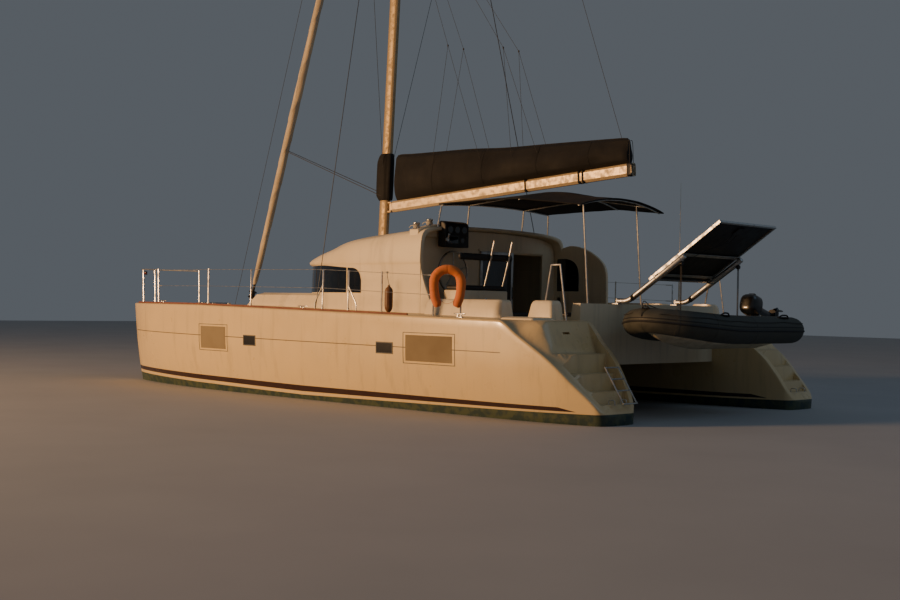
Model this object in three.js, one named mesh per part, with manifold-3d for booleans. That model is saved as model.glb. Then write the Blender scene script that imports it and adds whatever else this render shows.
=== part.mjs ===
// Cruising sailing catamaran, 11.55 m long and 6.53 m wide, afloat at its waterline.
// Millimetres. +X forward, +Y to port, +Z up. The origin is amidships on the centreline, at the waterline.
import * as THREE from "three";
import { mergeVertices } from "three/addons/utils/BufferGeometryUtils.js";
import Module from "manifold-3d";

const wasm = await Module();
wasm.setup();

// Driving dimensions
const LENGTH = 11550;
const BEAM = 6530;
const STERN_X = -LENGTH / 2 + 15;
const BOW_X = LENGTH / 2;
const HULL_Y = 2450; // centreline of each hull
const HALF_HULL = BEAM / 2 - HULL_Y; // outboard half-breadth of a hull amidships
const DECK_FORE = 1480; // deck height above the water, from the foredeck to the bow
const DECK_AFT = 1370; // deck height at the stern
const DECK_FORE_X = 2800;
const DECK_AFT_X = -4200;
const GAP = 0.3; // between pieces that touch
const RUNNING = 0.5; // between a moving piece and its seat
const TUBE = 13; // radius of a stainless rail

const SIDES = [
  { side: "port", s: 1 },
  { side: "starboard", s: -1 },
];

// Materials, one per finish
const finish = (color, roughness, metalness = 0) =>
  new THREE.MeshStandardMaterial({ color, roughness, metalness });
const MATERIALS = {
  gelcoat: finish(0xe9e0cf, 0.35),
  antifouling: finish(0x1d2c2e, 0.8),
  teak_rail: finish(0x6a3a28, 0.7),
  glazing: finish(0x15171a, 0.15),
  canvas: finish(0x14161d, 0.9),
  net: finish(0xd9d6cc, 0.9),
  spar: finish(0xd8bf93, 0.45, 0.3),
  headsail: finish(0xc9b38e, 0.9),
  wire: finish(0x8f9296, 0.35, 0.9),
  stainless: finish(0xc6c8ca, 0.25, 1),
  lifebuoy: finish(0xd9752e, 0.7),
  fender: finish(0x6b4326, 0.8),
  solar: finish(0x14161c, 0.3),
  dinghy_tube: finish(0x6d7064, 0.8),
  dinghy_hull: finish(0xcfc6b2, 0.5),
  outboard: finish(0x17181a, 0.4),
  bronze: finish(0x8a6a3a, 0.4, 0.9),
  upholstery: finish(0x1b1c20, 0.85),
  helm_plastic: finish(0x55585a, 0.6),
  winch_metal: finish(0x9b9da0, 0.3, 1),
};

const boat = new THREE.Group();

// Solid helpers

// A closed geometry as a solid, turned right side out if its faces point inwards.
function solid(geometry) {
  const bare = new THREE.BufferGeometry();
  bare.setAttribute("position", geometry.getAttribute("position"));
  if (geometry.index) bare.setIndex(geometry.index);
  const merged = mergeVertices(bare, 1e-3);
  const p = merged.attributes.position.array;
  const t = new Uint32Array(merged.index.array);
  let volume = 0;
  for (let i = 0; i < t.length; i += 3) {
    const [a, b, c] = [t[i] * 3, t[i + 1] * 3, t[i + 2] * 3];
    volume += p[a] * (p[b + 1] * p[c + 2] - p[b + 2] * p[c + 1]);
    volume += p[a + 1] * (p[b + 2] * p[c] - p[b] * p[c + 2]);
    volume += p[a + 2] * (p[b] * p[c + 1] - p[b + 1] * p[c]);
  }
  if (volume < 0) {
    for (let i = 0; i < t.length; i += 3) [t[i + 1], t[i + 2]] = [t[i + 2], t[i + 1]];
  }
  return new wasm.Manifold(
    new wasm.Mesh({ numProp: 3, vertProperties: new Float32Array(p), triVerts: t }),
  );
}

function geometryOf(made) {
  const mesh = made.getMesh();
  const n = mesh.numProp;
  const v = new Float32Array(mesh.numVert * 3);
  for (let i = 0; i < mesh.numVert; i++) {
    v.set(mesh.vertProperties.subarray(i * n, i * n + 3), i * 3);
  }
  const g = new THREE.BufferGeometry();
  g.setAttribute("position", new THREE.BufferAttribute(v, 3));
  g.setIndex(new THREE.BufferAttribute(new Uint32Array(mesh.triVerts), 1));
  g.computeVertexNormals();
  return g;
}

function piece(name, made, material, parent = boat) {
  const mesh = new THREE.Mesh(geometryOf(made), MATERIALS[material]);
  mesh.name = name;
  parent.add(mesh);
  return mesh;
}

const join = (...parts) => parts.reduce((whole, part) => whole.add(part));
const cut = (whole, ...tools) => tools.reduce((left, tool) => left.subtract(tool), whole);
const moved = (made, x, y, z) => made.translate([x, y, z]);

function box(x0, x1, y0, y1, z0, z1) {
  const g = new THREE.BoxGeometry(Math.abs(x1 - x0), Math.abs(y1 - y0), Math.abs(z1 - z0));
  g.translate((x0 + x1) / 2, (y0 + y1) / 2, (z0 + z1) / 2);
  return solid(g);
}

const outline = (points) => new THREE.Shape(points.map(([a, b]) => new THREE.Vector2(a, b)));
const extruded = (points, depth) =>
  new THREE.ExtrudeGeometry(outline(points), { depth, bevelEnabled: false });

// A side outline of (x, z) points, from y0 to y1.
function prismY(points, y0, y1) {
  const g = extruded(points, Math.abs(y1 - y0));
  g.rotateX(Math.PI / 2);
  g.translate(0, Math.max(y0, y1), 0);
  return solid(g);
}

// A plan outline of (x, y) points, from z0 to z1.
function prismZ(points, z0, z1) {
  const g = extruded(points, z1 - z0);
  g.translate(0, 0, z0);
  return solid(g);
}

// Rings of equal count joined into one closed body. Each end is closed by a fan from its middle or,
// on a thin sheet whose ring goes out along one face and back along the other, by a strip between the two.
function loft(rings, thinSheet = false) {
  const n = rings[0].length;
  const positions = [];
  const index = [];
  for (const p of rings.flat()) positions.push(...p);
  for (let i = 0; i + 1 < rings.length; i++) {
    for (let j = 0; j < n; j++) {
      const a = i * n + j;
      const b = i * n + ((j + 1) % n);
      index.push(a, b, b + n, a, b + n, a + n);
    }
  }
  for (const [start, flip] of [[0, true], [(rings.length - 1) * n, false]]) {
    if (thinSheet) {
      for (let j = 0; j < n / 2 - 1; j++) {
        const [a, b, c, d] = [start + j, start + j + 1, start + n - 2 - j, start + n - 1 - j];
        if (flip) index.push(c, b, a, d, c, a);
        else index.push(a, b, c, a, c, d);
      }
      continue;
    }
    const ring = rings[start / n];
    const middle = [0, 1, 2].map((k) => ring.reduce((sum, p) => sum + p[k], 0) / n);
    const centre = positions.length / 3;
    positions.push(...middle);
    for (let j = 0; j < n; j++) {
      const a = start + j;
      const b = start + ((j + 1) % n);
      if (flip) index.push(b, a, centre);
      else index.push(a, b, centre);
    }
  }
  const g = new THREE.BufferGeometry();
  g.setAttribute("position", new THREE.Float32BufferAttribute(positions, 3));
  g.setIndex(index);
  return solid(g);
}

// A round tube along straight runs between points, mitred at the bends; its radius may change by point.
function tube(points, radius, sides = 8) {
  const path = points.map((p) => new THREE.Vector3(...p));
  const radii = Array.isArray(radius) ? radius : points.map(() => radius);
  const runs = path.slice(1).map((p, i) => p.clone().sub(path[i]).normalize());
  const first = runs[0];
  let across = new THREE.Vector3(0, 0, 1).cross(first);
  if (across.length() < 0.1) across = new THREE.Vector3(0, 1, 0).cross(first);
  across.normalize();
  const rings = path.map((p, i) => {
    const before = runs[Math.max(i - 1, 0)];
    const after = runs[Math.min(i, runs.length - 1)];
    const normal = before.clone().add(after).normalize();
    // the ring's across vector is carried along each run, then the ring is sheared into the mitre plane
    across.sub(before.clone().multiplyScalar(across.dot(before))).normalize();
    const up = before.clone().cross(across);
    const ring = [];
    for (let k = 0; k < sides; k++) {
      const angle = (2 * Math.PI * k) / sides;
      const off = across
        .clone()
        .multiplyScalar(Math.cos(angle) * radii[i])
        .addScaledVector(up, Math.sin(angle) * radii[i]);
      off.addScaledVector(before, -off.dot(normal) / before.dot(normal));
      ring.push(p.clone().add(off).toArray());
    }
    return ring;
  });
  return loft(rings);
}

const rod = (a, b, radius, sides = 8) => tube([a, b], radius, sides);

// Points of an arc about (ca, cb) in a plane, from one angle to another in degrees.
function arc(ca, cb, radius, from, to, steps) {
  return Array.from({ length: steps + 1 }, (_, i) => {
    const angle = THREE.MathUtils.degToRad(from + ((to - from) * i) / steps);
    return [ca + radius * Math.cos(angle), cb + radius * Math.sin(angle)];
  });
}

const deckZ = (x) => {
  const t = THREE.MathUtils.clamp((x - DECK_AFT_X) / (DECK_FORE_X - DECK_AFT_X), 0, 1);
  return DECK_AFT + t * (DECK_FORE - DECK_AFT);
};

// Hulls: sections lofted from the stern to the stem.
// x at the deck; half-breadths at the deck, outboard and inboard, and at the waterline; canoe-body depth;
// how far the foot of the section lies aft of its deck point
const STATIONS = [
  { x: STERN_X, out: 465, inn: 385, water: 370, depth: 55, rake: 0 },
  { x: -5100, out: 650, inn: 575, water: 520, depth: 230, rake: 0 },
  { x: -4600, out: 715, inn: 702, water: 585, depth: 330, rake: 0 },
  { x: DECK_AFT_X, out: 750, inn: 704, water: 610, depth: 400, rake: 0 },
  { x: -2400, out: 800, inn: 704, water: 640, depth: 540, rake: 0 },
  { x: 300, out: HALF_HULL, inn: 704, water: 650, depth: 600, rake: 0 },
  { x: DECK_FORE_X, out: 800, inn: 704, water: 590, depth: 590, rake: 0 },
  { x: 3600, out: 735, inn: 690, water: 500, depth: 570, rake: 10 },
  { x: 4600, out: 570, inn: 550, water: 330, depth: 520, rake: 40 },
  { x: 5300, out: 350, inn: 345, water: 165, depth: 450, rake: 90 },
  { x: 5680, out: 165, inn: 165, water: 65, depth: 380, rake: 190 },
  { x: BOW_X, out: 62, inn: 62, water: 22, depth: 330, rake: 240 },
];
// height as a share of the freeboard, breadth as a share of the flare from waterline to deck, inset of the edge
const OUTBOARD_LEVELS = [
  { height: 1, flare: 1, inset: 35 },
  { height: 0.975, flare: 1, inset: 0 },
  { height: 0.62, flare: 0.94, inset: 0 },
  { height: 0.3, flare: 0.62, inset: 0 },
  { height: 0, flare: 0, inset: 0 },
];
const INBOARD_LEVELS = [
  { height: 1, flare: 1, inset: 0 },
  { height: 0.48, flare: 1, inset: 0 },
  { height: 0.2, flare: 0.45, inset: 0 },
  { height: 0, flare: 0, inset: 0 },
];
// depth as a share of the canoe body's, breadth as a share of the waterline's
const BOTTOM_LEVELS = [
  { depth: 0.45, breadth: 0.87 },
  { depth: 0.82, breadth: 0.58 },
  { depth: 1, breadth: 0.15 },
];

const RAKE_BELOW = 0.9; // share of a section's rake that its underwater part takes again

function hullRing(station, s) {
  const { x, out, inn, water, depth, rake } = station;
  const deck = deckZ(x);
  const point = (z, breadth) => {
    const share = z >= 0 ? 1 - z / deck : 1 - (z / depth) * RAKE_BELOW;
    return [x - rake * share, s * (HULL_Y + breadth), z];
  };
  const above = (levels, half, sign) =>
    levels.map(({ height, flare, inset }) =>
      point(height * deck, sign * (water + (half - water) * flare - inset)));
  const below = (sign) =>
    BOTTOM_LEVELS.map((level) => point(-level.depth * depth, sign * water * level.breadth));
  return [
    ...above(OUTBOARD_LEVELS, out, 1),
    ...below(1),
    ...below(-1).reverse(),
    ...above(INBOARD_LEVELS, inn, -1).reverse(),
  ];
}

// Bridgedeck side outline, grown on request so that the hulls can be cut clear of it.
const BRIDGE_Y = 1750;
const BRIDGE_BOTTOM = 720;
const BRIDGE_FRONT_X = 3450;
const BRIDGE_AFT_X = -4500;
const BRIDGE_RAMP = { foot: 3000, top: 1320 }; // the underside slopes up to the front face
const bridgeOutline = (grow = 0) => [
  [BRIDGE_AFT_X - grow, BRIDGE_BOTTOM - grow],
  [BRIDGE_RAMP.foot + grow, BRIDGE_BOTTOM - grow],
  [BRIDGE_FRONT_X + grow, BRIDGE_RAMP.top],
  [BRIDGE_FRONT_X + grow, DECK_FORE + grow],
  [DECK_FORE_X, DECK_FORE + grow],
  [DECK_AFT_X, DECK_AFT + grow],
  [BRIDGE_AFT_X - grow, DECK_AFT + grow],
];

// Scoop stern, as (x, z) lines seen from the side.
const SCOOP_INNER = [[-4590, 1400], [-5040, 1060], [-5250, 900], [-5480, 620], [-5660, 320], [-5760, 120]];
const SCOOP_OUTER = [[-4200, 1372], [-4510, 1180], [-5040, 830], [-5400, 500], [-5620, 290], [-5760, 120]];
// tread height and the x of its front and back edges, from the deck down to the bathing platform
const TREADS = [
  { z: 925, front: -4970, back: -5150 },
  { z: 670, front: -5160, back: -5345 },
  { z: 440, front: -5355, back: -5535 },
  { z: 275, front: -5545, back: -5900 },
];
const BLOCK_FACE = [[-4720, 1700], [-4730, 1330]]; // aft face of the block at the head of the steps
const STEP_EDGE = 110; // width of the coaming beside the steps
const SHOULDER = 150; // width of the sloping outboard shoulder
// x, and the hull's edges there, outboard and inboard of its centreline, that the steps are set in from
const STEP_PLAN = [
  { x: -4600, out: 715, inn: 690 }, { x: -5100, out: 640, inn: 565 }, { x: -5900, out: 435, inn: 365 },
];
// the cuts reach past the stern, above the deck and beyond the hull's sides
const CUT = { aft: -5900, top: 1700, side: 900 };

function scoopCut(line, y0, y1) {
  const last = line[line.length - 1];
  return prismY([...line, [CUT.aft, last[1] - 40], [CUT.aft, CUT.top], [line[0][0], CUT.top]], y0, y1);
}

function stepsCut(s) {
  const profile = [...BLOCK_FACE];
  for (const { z, front, back } of TREADS) profile.push([front, z], [back, z]);
  profile.push([CUT.aft, CUT.top]);
  const plan = [
    ...STEP_PLAN.map(({ x, out }) => [x, s * (HULL_Y + out - SHOULDER)]),
    ...[...STEP_PLAN].reverse().map(({ x, inn }) => [x, s * (HULL_Y - inn + STEP_EDGE)]),
  ];
  const sides = [s * (HULL_Y - CUT.side), s * (HULL_Y + CUT.side)];
  return prismY(profile, ...sides).intersect(prismZ(plan, 0, CUT.top));
}

// The block at the head of the steps has a hand slot in its aft face.
const SLOT = { x0: -4850, x1: -4740, half: 75, z0: 1185, z1: 1215 };

// Cockpit coamings stand on the side decks; a gate is left in each.
const COAMING = { inner: 1955, outer: 2250, top: 1650, lean: 40, root: 60 };
const COAMING_RUNS = [
  { aft: -3440, fore: -1800 },
  { aft: -4380, fore: -3900 },
];

// Lid recesses and lids: centre x, y, length and width, thickness, and whether the hinge is at the fore edge
const HATCH = { x: 3350, y: 2480, length: 520, width: 520, thick: 40 };
const ENGINE_LID = { x: -4200, y: 2560, length: 620, width: 520, thick: 35 };
const RECESS_DEPTH = 60;
const RECESS_EDGE = 30; // by which a lid overlaps its recess all round
const LID_CHAMFER = 15;

// Foil plans: distance along the chord and thickness, as shares
const KEEL_FOIL = [[0, 0.02], [0.04, 0.5], [0.14, 0.85], [0.32, 1], [0.65, 0.7], [1, 0.05]];
const RUDDER_FOIL = [[0, 0.05], [0.1, 0.7], [0.3, 1], [0.7, 0.6], [1, 0.08]];

// A level ring round a foil; fore and aft are its ends in x, half its half-thickness, y the chord's place
function foilRing(shares, { fore, aft, half, z }, y = 0, s = 1) {
  const edge = (sign) => shares.map(([t, h]) => [fore - t * (fore - aft), y + s * sign * h * half, z]);
  return [...edge(1), ...edge(-1).reverse()];
}

const KEEL = [{ fore: 1150, aft: -1650, half: 150, z: -480 }, { fore: 800, aft: -1450, half: 110, z: -1150 }];
const DRIVE_LEG = [
  { fore: -3330, aft: -3650, half: 50, z: -400 }, { fore: -3370, aft: -3620, half: 45, z: -900 },
];
const SHAFT = { x: -3680, z: -850, radius: 58, nose: -3290, noseRadius: 20, shoulder: -3340 };
// radius, half-width and pitch angle of a propeller blade, and the blade's half-thickness
const BLADE = [{ r: 20, half: 34, pitch: 55 }, { r: 110, half: 60, pitch: 35 }, { r: 190, half: 28, pitch: 24 }];
const BLADE_THICK = 5;

// Rings of a pitched blade, each point as the distance ahead, across and out from the shaft
function bladeRings(rows, thick, back) {
  return rows.map(({ r, half, pitch }) => {
    const a = THREE.MathUtils.degToRad(pitch);
    return [[-1, -1], [1, -1], [1, 1], [-1, 1]].map(([u, v]) => [
      u * half * Math.sin(a) - v * thick * Math.cos(a) - back,
      u * half * Math.cos(a) + v * thick * Math.sin(a),
      r,
    ]);
  });
}

const RUDDER = { x: -4500, top: -380, tip: -1060, stock: 25, head: -225 };
const RUDDER_BLADE = [
  { fore: 115, aft: -330, half: 30, z: RUDDER.tip }, { fore: 120, aft: -340, half: 34, z: RUDDER.top },
];
const STOCK_SIDES = 24;
const STOCK_BORE = (RUDDER.stock + GAP) / Math.cos(Math.PI / STOCK_SIDES);
const LADDER = { x: -5790, z: 290, y: 2300, half: 150, length: 560, tube: 12 };
const LADDER_LUG = { aft: LADDER.x - 14, width: 40, low: 235, high: 305 };

const PULPIT = { z: 2110, rise: 20, front: 5610, frontHalf: 80, frontRise: 25 };
const PULPIT_LEGS = [
  { x: 4480, local: 455 }, { x: 5480, local: 130 }, { x: 5480, local: -130 }, { x: 4480, local: -455 },
];
const STANCHION = { y: 2980, high: 640, foot: 28, footHigh: 30 };
const STERN_RAIL_Y = 2090;
const STERN_RAIL = [[-4130, COAMING.top - 30], [-4230, 2160], [-4390, 2160], [-4520, DECK_AFT - 30]];
const TOE_RAIL = { from: -2400, setIn: 60, half: 12, topHalf: 8, high: 28 };

const hullSolids = {};
for (const { side, s } of SIDES) {
  const y = (local) => s * (HULL_Y + local);
  let hull = loft(STATIONS.map((station) => hullRing(station, s)));
  hull = cut(
    hull,
    prismY(bridgeOutline(GAP), -BRIDGE_Y, BRIDGE_Y),
    scoopCut(SCOOP_INNER, y(-CUT.side), y(CUT.side)),
    scoopCut(SCOOP_OUTER, y(STATIONS[0].out - SHOULDER), y(CUT.side)),
    stepsCut(s),
    box(SLOT.x0, SLOT.x1, y(-SLOT.half), y(SLOT.half), SLOT.z0, SLOT.z1),
  );
  for (const { aft, fore } of COAMING_RUNS) {
    const { inner, outer, top, lean, root } = COAMING;
    const ring = (inset, inside, zAt) => [
      [aft + inset, s * (inner + inside), zAt(aft)], [fore - inset, s * (inner + inside), zAt(fore)],
      [fore - inset, s * (outer - inset), zAt(fore)], [aft + inset, s * (outer - inset), zAt(aft)],
    ];
    hull = join(hull, loft([
      ring(0, 0, (x) => deckZ(x) - root), ring(lean, 0, () => top - lean), ring(2 * lean, lean / 2, () => top),
    ]));
  }
  for (const { x, y: lidY, length, width } of [HATCH, ENGINE_LID]) {
    const [halfLong, halfWide] = [length / 2 - RECESS_EDGE, width / 2 - RECESS_EDGE];
    hull = cut(hull, box(
      x - halfLong, x + halfLong, s * (lidY - halfWide), s * (lidY + halfWide), deckZ(x) - RECESS_DEPTH, CUT.top,
    ));
  }
  hull = cut(hull, rod([RUDDER.x, y(0), -700], [RUDDER.x, y(0), RUDDER.head + 10], STOCK_BORE, STOCK_SIDES));
  if (side === "port") {
    const { aft, width, low, high } = LADDER_LUG;
    for (const end of [-1, 1]) {
      const near = LADDER.y + end * (LADDER.half + LADDER.tube + RUNNING);
      hull = join(hull, box(aft, STERN_X + 60, near, near + end * width, low, high));
    }
  }
  hullSolids[side] = hull;
  piece(`hull_${side}`, hull, "gelcoat");

  // Toe rail along the deck edge, from the bow to the cockpit
  const railPath = STATIONS.filter((station) => station.x >= TOE_RAIL.from)
    .map(({ x, out }) => [x - 25, y(out - TOE_RAIL.setIn), deckZ(x)]);
  const railRings = railPath.map(([x, ry, z]) => [
    [x, ry - TOE_RAIL.half, z + GAP], [x, ry + TOE_RAIL.half, z + GAP],
    [x, ry + TOE_RAIL.topHalf, z + TOE_RAIL.high], [x, ry - TOE_RAIL.topHalf, z + TOE_RAIL.high],
  ]);
  piece(`toe_rail_${side}`, loft(railRings), "teak_rail");

  // Mini keel: foil plans at the root and the tip
  const below = moved(hull, 0, 0, -GAP);
  const keel = loft(KEEL.map((plan) => foilRing(KEEL_FOIL, plan, y(0), s)));
  piece(`keel_${side}`, cut(keel, below), "antifouling");

  // Saildrive leg with its torpedo
  const leg = join(
    loft(DRIVE_LEG.map((plan) => foilRing(KEEL_FOIL, plan, y(0), s))),
    tube(
      [SHAFT.nose, SHAFT.shoulder, SHAFT.x].map((x) => [x, y(0), SHAFT.z]),
      [SHAFT.noseRadius, SHAFT.radius, SHAFT.radius], 12,
    ),
  );
  piece(`saildrive_${side}`, cut(leg, below), "helm_plastic");

  // Propeller: hub with its bullet and three pitched blades, turning about a fore and aft shaft
  const propeller = new THREE.Group();
  propeller.position.set(SHAFT.x - RUNNING, y(0), SHAFT.z);
  boat.add(propeller);
  let screw = tube([[0, 0, 0], [-90, 0, 0], [-130, 0, 0]], [45, 42, 14], 12);
  for (let k = 0; k < 3; k++) {
    const turn = (2 * Math.PI * k) / 3;
    screw = join(screw, loft(bladeRings(BLADE, BLADE_THICK, 50).map((ring) => ring.map(([ahead, across, r]) => [
      ahead, across * Math.cos(turn) - r * Math.sin(turn), across * Math.sin(turn) + r * Math.cos(turn),
    ]))));
  }
  piece(`propeller_${side}`, screw, "bronze", propeller);

  // Rudder: blade and stock, turning about the stock
  const rudder = new THREE.Group();
  rudder.position.set(RUDDER.x, y(0), 0);
  boat.add(rudder);
  const blade = join(
    loft(RUDDER_BLADE.map((plan) => foilRing(RUDDER_FOIL, plan))),
    rod([0, 0, RUDDER.top - 50], [0, 0, RUDDER.head], RUDDER.stock, STOCK_SIDES),
  );
  piece(`rudder_${side}`, blade, "antifouling", rudder);

  // Deck hatch and engine lid, each hinged at its fore edge
  for (const [name, lid] of [["deck_hatch", HATCH], ["engine_lid", ENGINE_LID]]) {
    const hinge = new THREE.Group();
    hinge.position.set(lid.x + lid.length / 2, s * lid.y, Math.max(deckZ(lid.x + lid.length / 2), deckZ(lid.x)));
    boat.add(hinge);
    const ring = (inset, z) => {
      const [fore, aft, half] = [-inset, inset - lid.length, lid.width / 2 - inset];
      return [[aft, -half, z], [fore, -half, z], [fore, half, z], [aft, half, z]];
    };
    const cover = loft([ring(0, GAP), ring(0, lid.thick - LID_CHAMFER), ring(LID_CHAMFER, lid.thick)]);
    piece(`${name}_${side}`, cover, name === "deck_hatch" ? "glazing" : "gelcoat", hinge);
  }

  // Bow pulpit: a rail round the bow on four legs
  const [aftOuter, foreOuter, foreInner, aftInner] = PULPIT_LEGS;
  const round = [
    [aftOuter.x, y(aftOuter.local), PULPIT.z], [foreOuter.x, y(foreOuter.local), PULPIT.z + PULPIT.rise],
    [PULPIT.front, y(PULPIT.frontHalf), PULPIT.z + PULPIT.frontRise],
    [PULPIT.front, y(-PULPIT.frontHalf), PULPIT.z + PULPIT.frontRise],
    [foreInner.x, y(foreInner.local), PULPIT.z + PULPIT.rise], [aftInner.x, y(aftInner.local), PULPIT.z],
  ];
  const standing = PULPIT_LEGS.map(({ x, local }) =>
    rod([x - 30, y(local), DECK_FORE - 20], [x, y(local), PULPIT.z + 10], TUBE));
  const onDeck = moved(hull, 0, 0, GAP);
  piece(`pulpit_${side}`, cut(join(tube(round, TUBE), ...standing), onDeck), "stainless");

  // Stanchions on the side deck
  for (const [number, x] of [[1, 2800], [2, -1650]]) {
    const at = (z) => [x, s * STANCHION.y, deckZ(x) + z];
    const post = rod(at(GAP), at(STANCHION.high), TUBE);
    const foot = rod(at(1), at(STANCHION.footHigh), STANCHION.foot);
    piece(`stanchion_${side}_${number}`, cut(join(post, foot), onDeck), "stainless");
  }

  // Stern rail beside the gate, one leg on the coaming and one on the deck
  const gate = STERN_RAIL.map(([x, z]) => [x, s * STERN_RAIL_Y, z]);
  piece(`stern_rail_${side}`, cut(tube(gate, TUBE), onDeck), "stainless");
}

const bothDecks = Object.values(hullSolids).map((hull) => moved(hull, 0, 0, GAP));
const onBothDecks = (made) => cut(made, ...bothDecks);

// Coachroof: plan rings with a rounded front, stacked from the deck to the crown.
const ROOF_AFT_X = -1330;
const ROOF_POWER = 2.5;
const ROOF_STEPS = 14;
// height of each ring at its aft and fore ends, reach of its front ahead of amidships, half-breadth;
// the first ring stands on the deck
const ROOF_RINGS = [
  { aftZ: null, foreZ: null, front: 2450, half: 1830 },
  { aftZ: 1730, foreZ: 1730, front: 2450, half: 1830 },
  { aftZ: 2200, foreZ: 2200, front: 2400, half: 1840 },
  { aftZ: 2240, foreZ: 2240, front: 2520, half: 1850 },
  { aftZ: 2300, foreZ: 2300, front: 2500, half: 1850 },
  { aftZ: 2500, foreZ: 2360, front: 2200, half: 1840 },
  { aftZ: 2660, foreZ: 2440, front: 1750, half: 1815 },
  { aftZ: 2760, foreZ: 2530, front: 1450, half: 1745 },
  { aftZ: 2820, foreZ: 2620, front: 1200, half: 1500 },
  { aftZ: 2850, foreZ: 2710, front: 1000, half: 1100 },
  { aftZ: 2870, foreZ: 2770, front: 700, half: 500 },
];
const ROOM_RINGS = [
  { aftZ: null, foreZ: null, front: 2350, half: 1760 },
  { aftZ: 2230, foreZ: 2230, front: 2350, half: 1760 },
  { aftZ: 2440, foreZ: 2290, front: 2110, half: 1760 },
  { aftZ: 2600, foreZ: 2370, front: 1660, half: 1735 },
  { aftZ: 2700, foreZ: 2460, front: 1360, half: 1660 },
  { aftZ: 2760, foreZ: 2550, front: 1110, half: 1410 },
  { aftZ: 2790, foreZ: 2640, front: 910, half: 1010 },
  { aftZ: 2810, foreZ: 2700, front: 610, half: 410 },
];

function roofPlan(front, half, aft, steps = ROOF_STEPS) {
  const points = [[aft, -half]];
  for (let i = 0; i <= steps; i++) {
    const angle = -Math.PI / 2 + (Math.PI * i) / steps;
    const c = Math.abs(Math.cos(angle)) ** (2 / ROOF_POWER);
    const t = Math.abs(Math.sin(angle)) ** (2 / ROOF_POWER);
    points.push([front * c, Math.sign(angle) * half * t]);
  }
  points.push([aft, half]);
  return points;
}

function roofStack(rings, grow, aft, base) {
  return loft(rings.map(({ aftZ, foreZ, front, half }) => {
    const ringZ = (x) => aftZ + ((foreZ - aftZ) * (x - ROOF_AFT_X)) / (front - ROOF_AFT_X) + grow;
    return roofPlan(front + grow, half + grow, aft).map(([x, y]) => [x, y, aftZ === null ? base(x) : ringZ(x)]);
  }));
}

const roofOuter = (grow = 0) => roofStack(ROOF_RINGS, grow, ROOF_AFT_X - grow, (x) => deckZ(x) + GAP - grow);
const roofRoom = (grow = 0) => roofStack(ROOM_RINGS, grow, ROOF_AFT_X - 50, (x) => deckZ(x) - 50);

// Window band: height, and the polar angles of each pane's ends about amidships
const WINDOW = { z0: 1740, z1: 2195 };
const PANES = [[88, 77], [75.5, 50], [48, 26], [24, 1], [-1, -24], [-26, -48], [-50, -75.5], [-77, -88]];
const PANE_REACH = 4000;
const windows = PANES.map((ends) => {
  const corners = ends.map((end) => {
    const angle = THREE.MathUtils.degToRad(end);
    return [PANE_REACH * Math.cos(angle), PANE_REACH * Math.sin(angle)];
  });
  return prismZ([[0, 0], ...corners], WINDOW.z0, WINDOW.z1);
});

// Side walls run aft past the roof: a full wing to starboard, a short one beside the helm
const WING = { outer: 1820, thick: 60 };
const WINGS = [
  { s: -1, edge: [[-1560, 2665], [-1880, 2590], [-2210, 2400], [-2320, 2260], [-2345, 1660]], top: 2600 },
  { s: 1, edge: [[-1350, 2100], [-1420, 1900], [-1530, 1650]], top: 2300 },
];
const WING_ROOT = -1290;
const wings = WINGS.map(({ s, edge, top }) => {
  const aft = edge[edge.length - 1][0];
  const side = [[WING_ROOT, top], ...edge, [aft, deckZ(aft) + GAP], [WING_ROOT, deckZ(WING_ROOT) + GAP]];
  return prismY(side, s * WING.outer, s * (WING.outer - WING.thick));
});

const roofShell = cut(roofOuter(), roofRoom(), ...windows);
const coachroof = join(roofShell, ...wings);
piece("coachroof", coachroof, "gelcoat");

// Tinted glazing behind the window band, one bent strip
const GLAZING = { front: ROOM_RINGS[1].front, half: ROOM_RINGS[1].half, aft: -90, thick: 10 };
const glazingPlan = [
  ...roofPlan(GLAZING.front - GAP, GLAZING.half - GAP, GLAZING.aft),
  ...roofPlan(GLAZING.front - GLAZING.thick, GLAZING.half - GLAZING.thick, GLAZING.aft).reverse(),
];
piece("saloon_glazing", prismZ(glazingPlan, WINDOW.z0 - 45, WINDOW.z1 + 25), "glazing");

// Bridgedeck with the cockpit well and saloon floor let into it, benches, aft beam and raised foredeck
const FLOOR_Z = 1000;
const WELL_Y = 1650;
const BULKHEAD = { aft: -1170, fore: -1130 };
const WELL = { aft: -3700, fore: 2050 };
const BENCH_TOP = 1420;
const BACKREST_TOP = 1620;
const SIDE_BENCH_TOP = 1400;
const AFT_BENCH = [
  [-4450, 1300], [WELL.aft, 1300], [WELL.aft, BENCH_TOP], [-4330, BENCH_TOP], [-4360, BACKREST_TOP],
  [BRIDGE_AFT_X, BACKREST_TOP], [BRIDGE_AFT_X, 1300],
];
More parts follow.
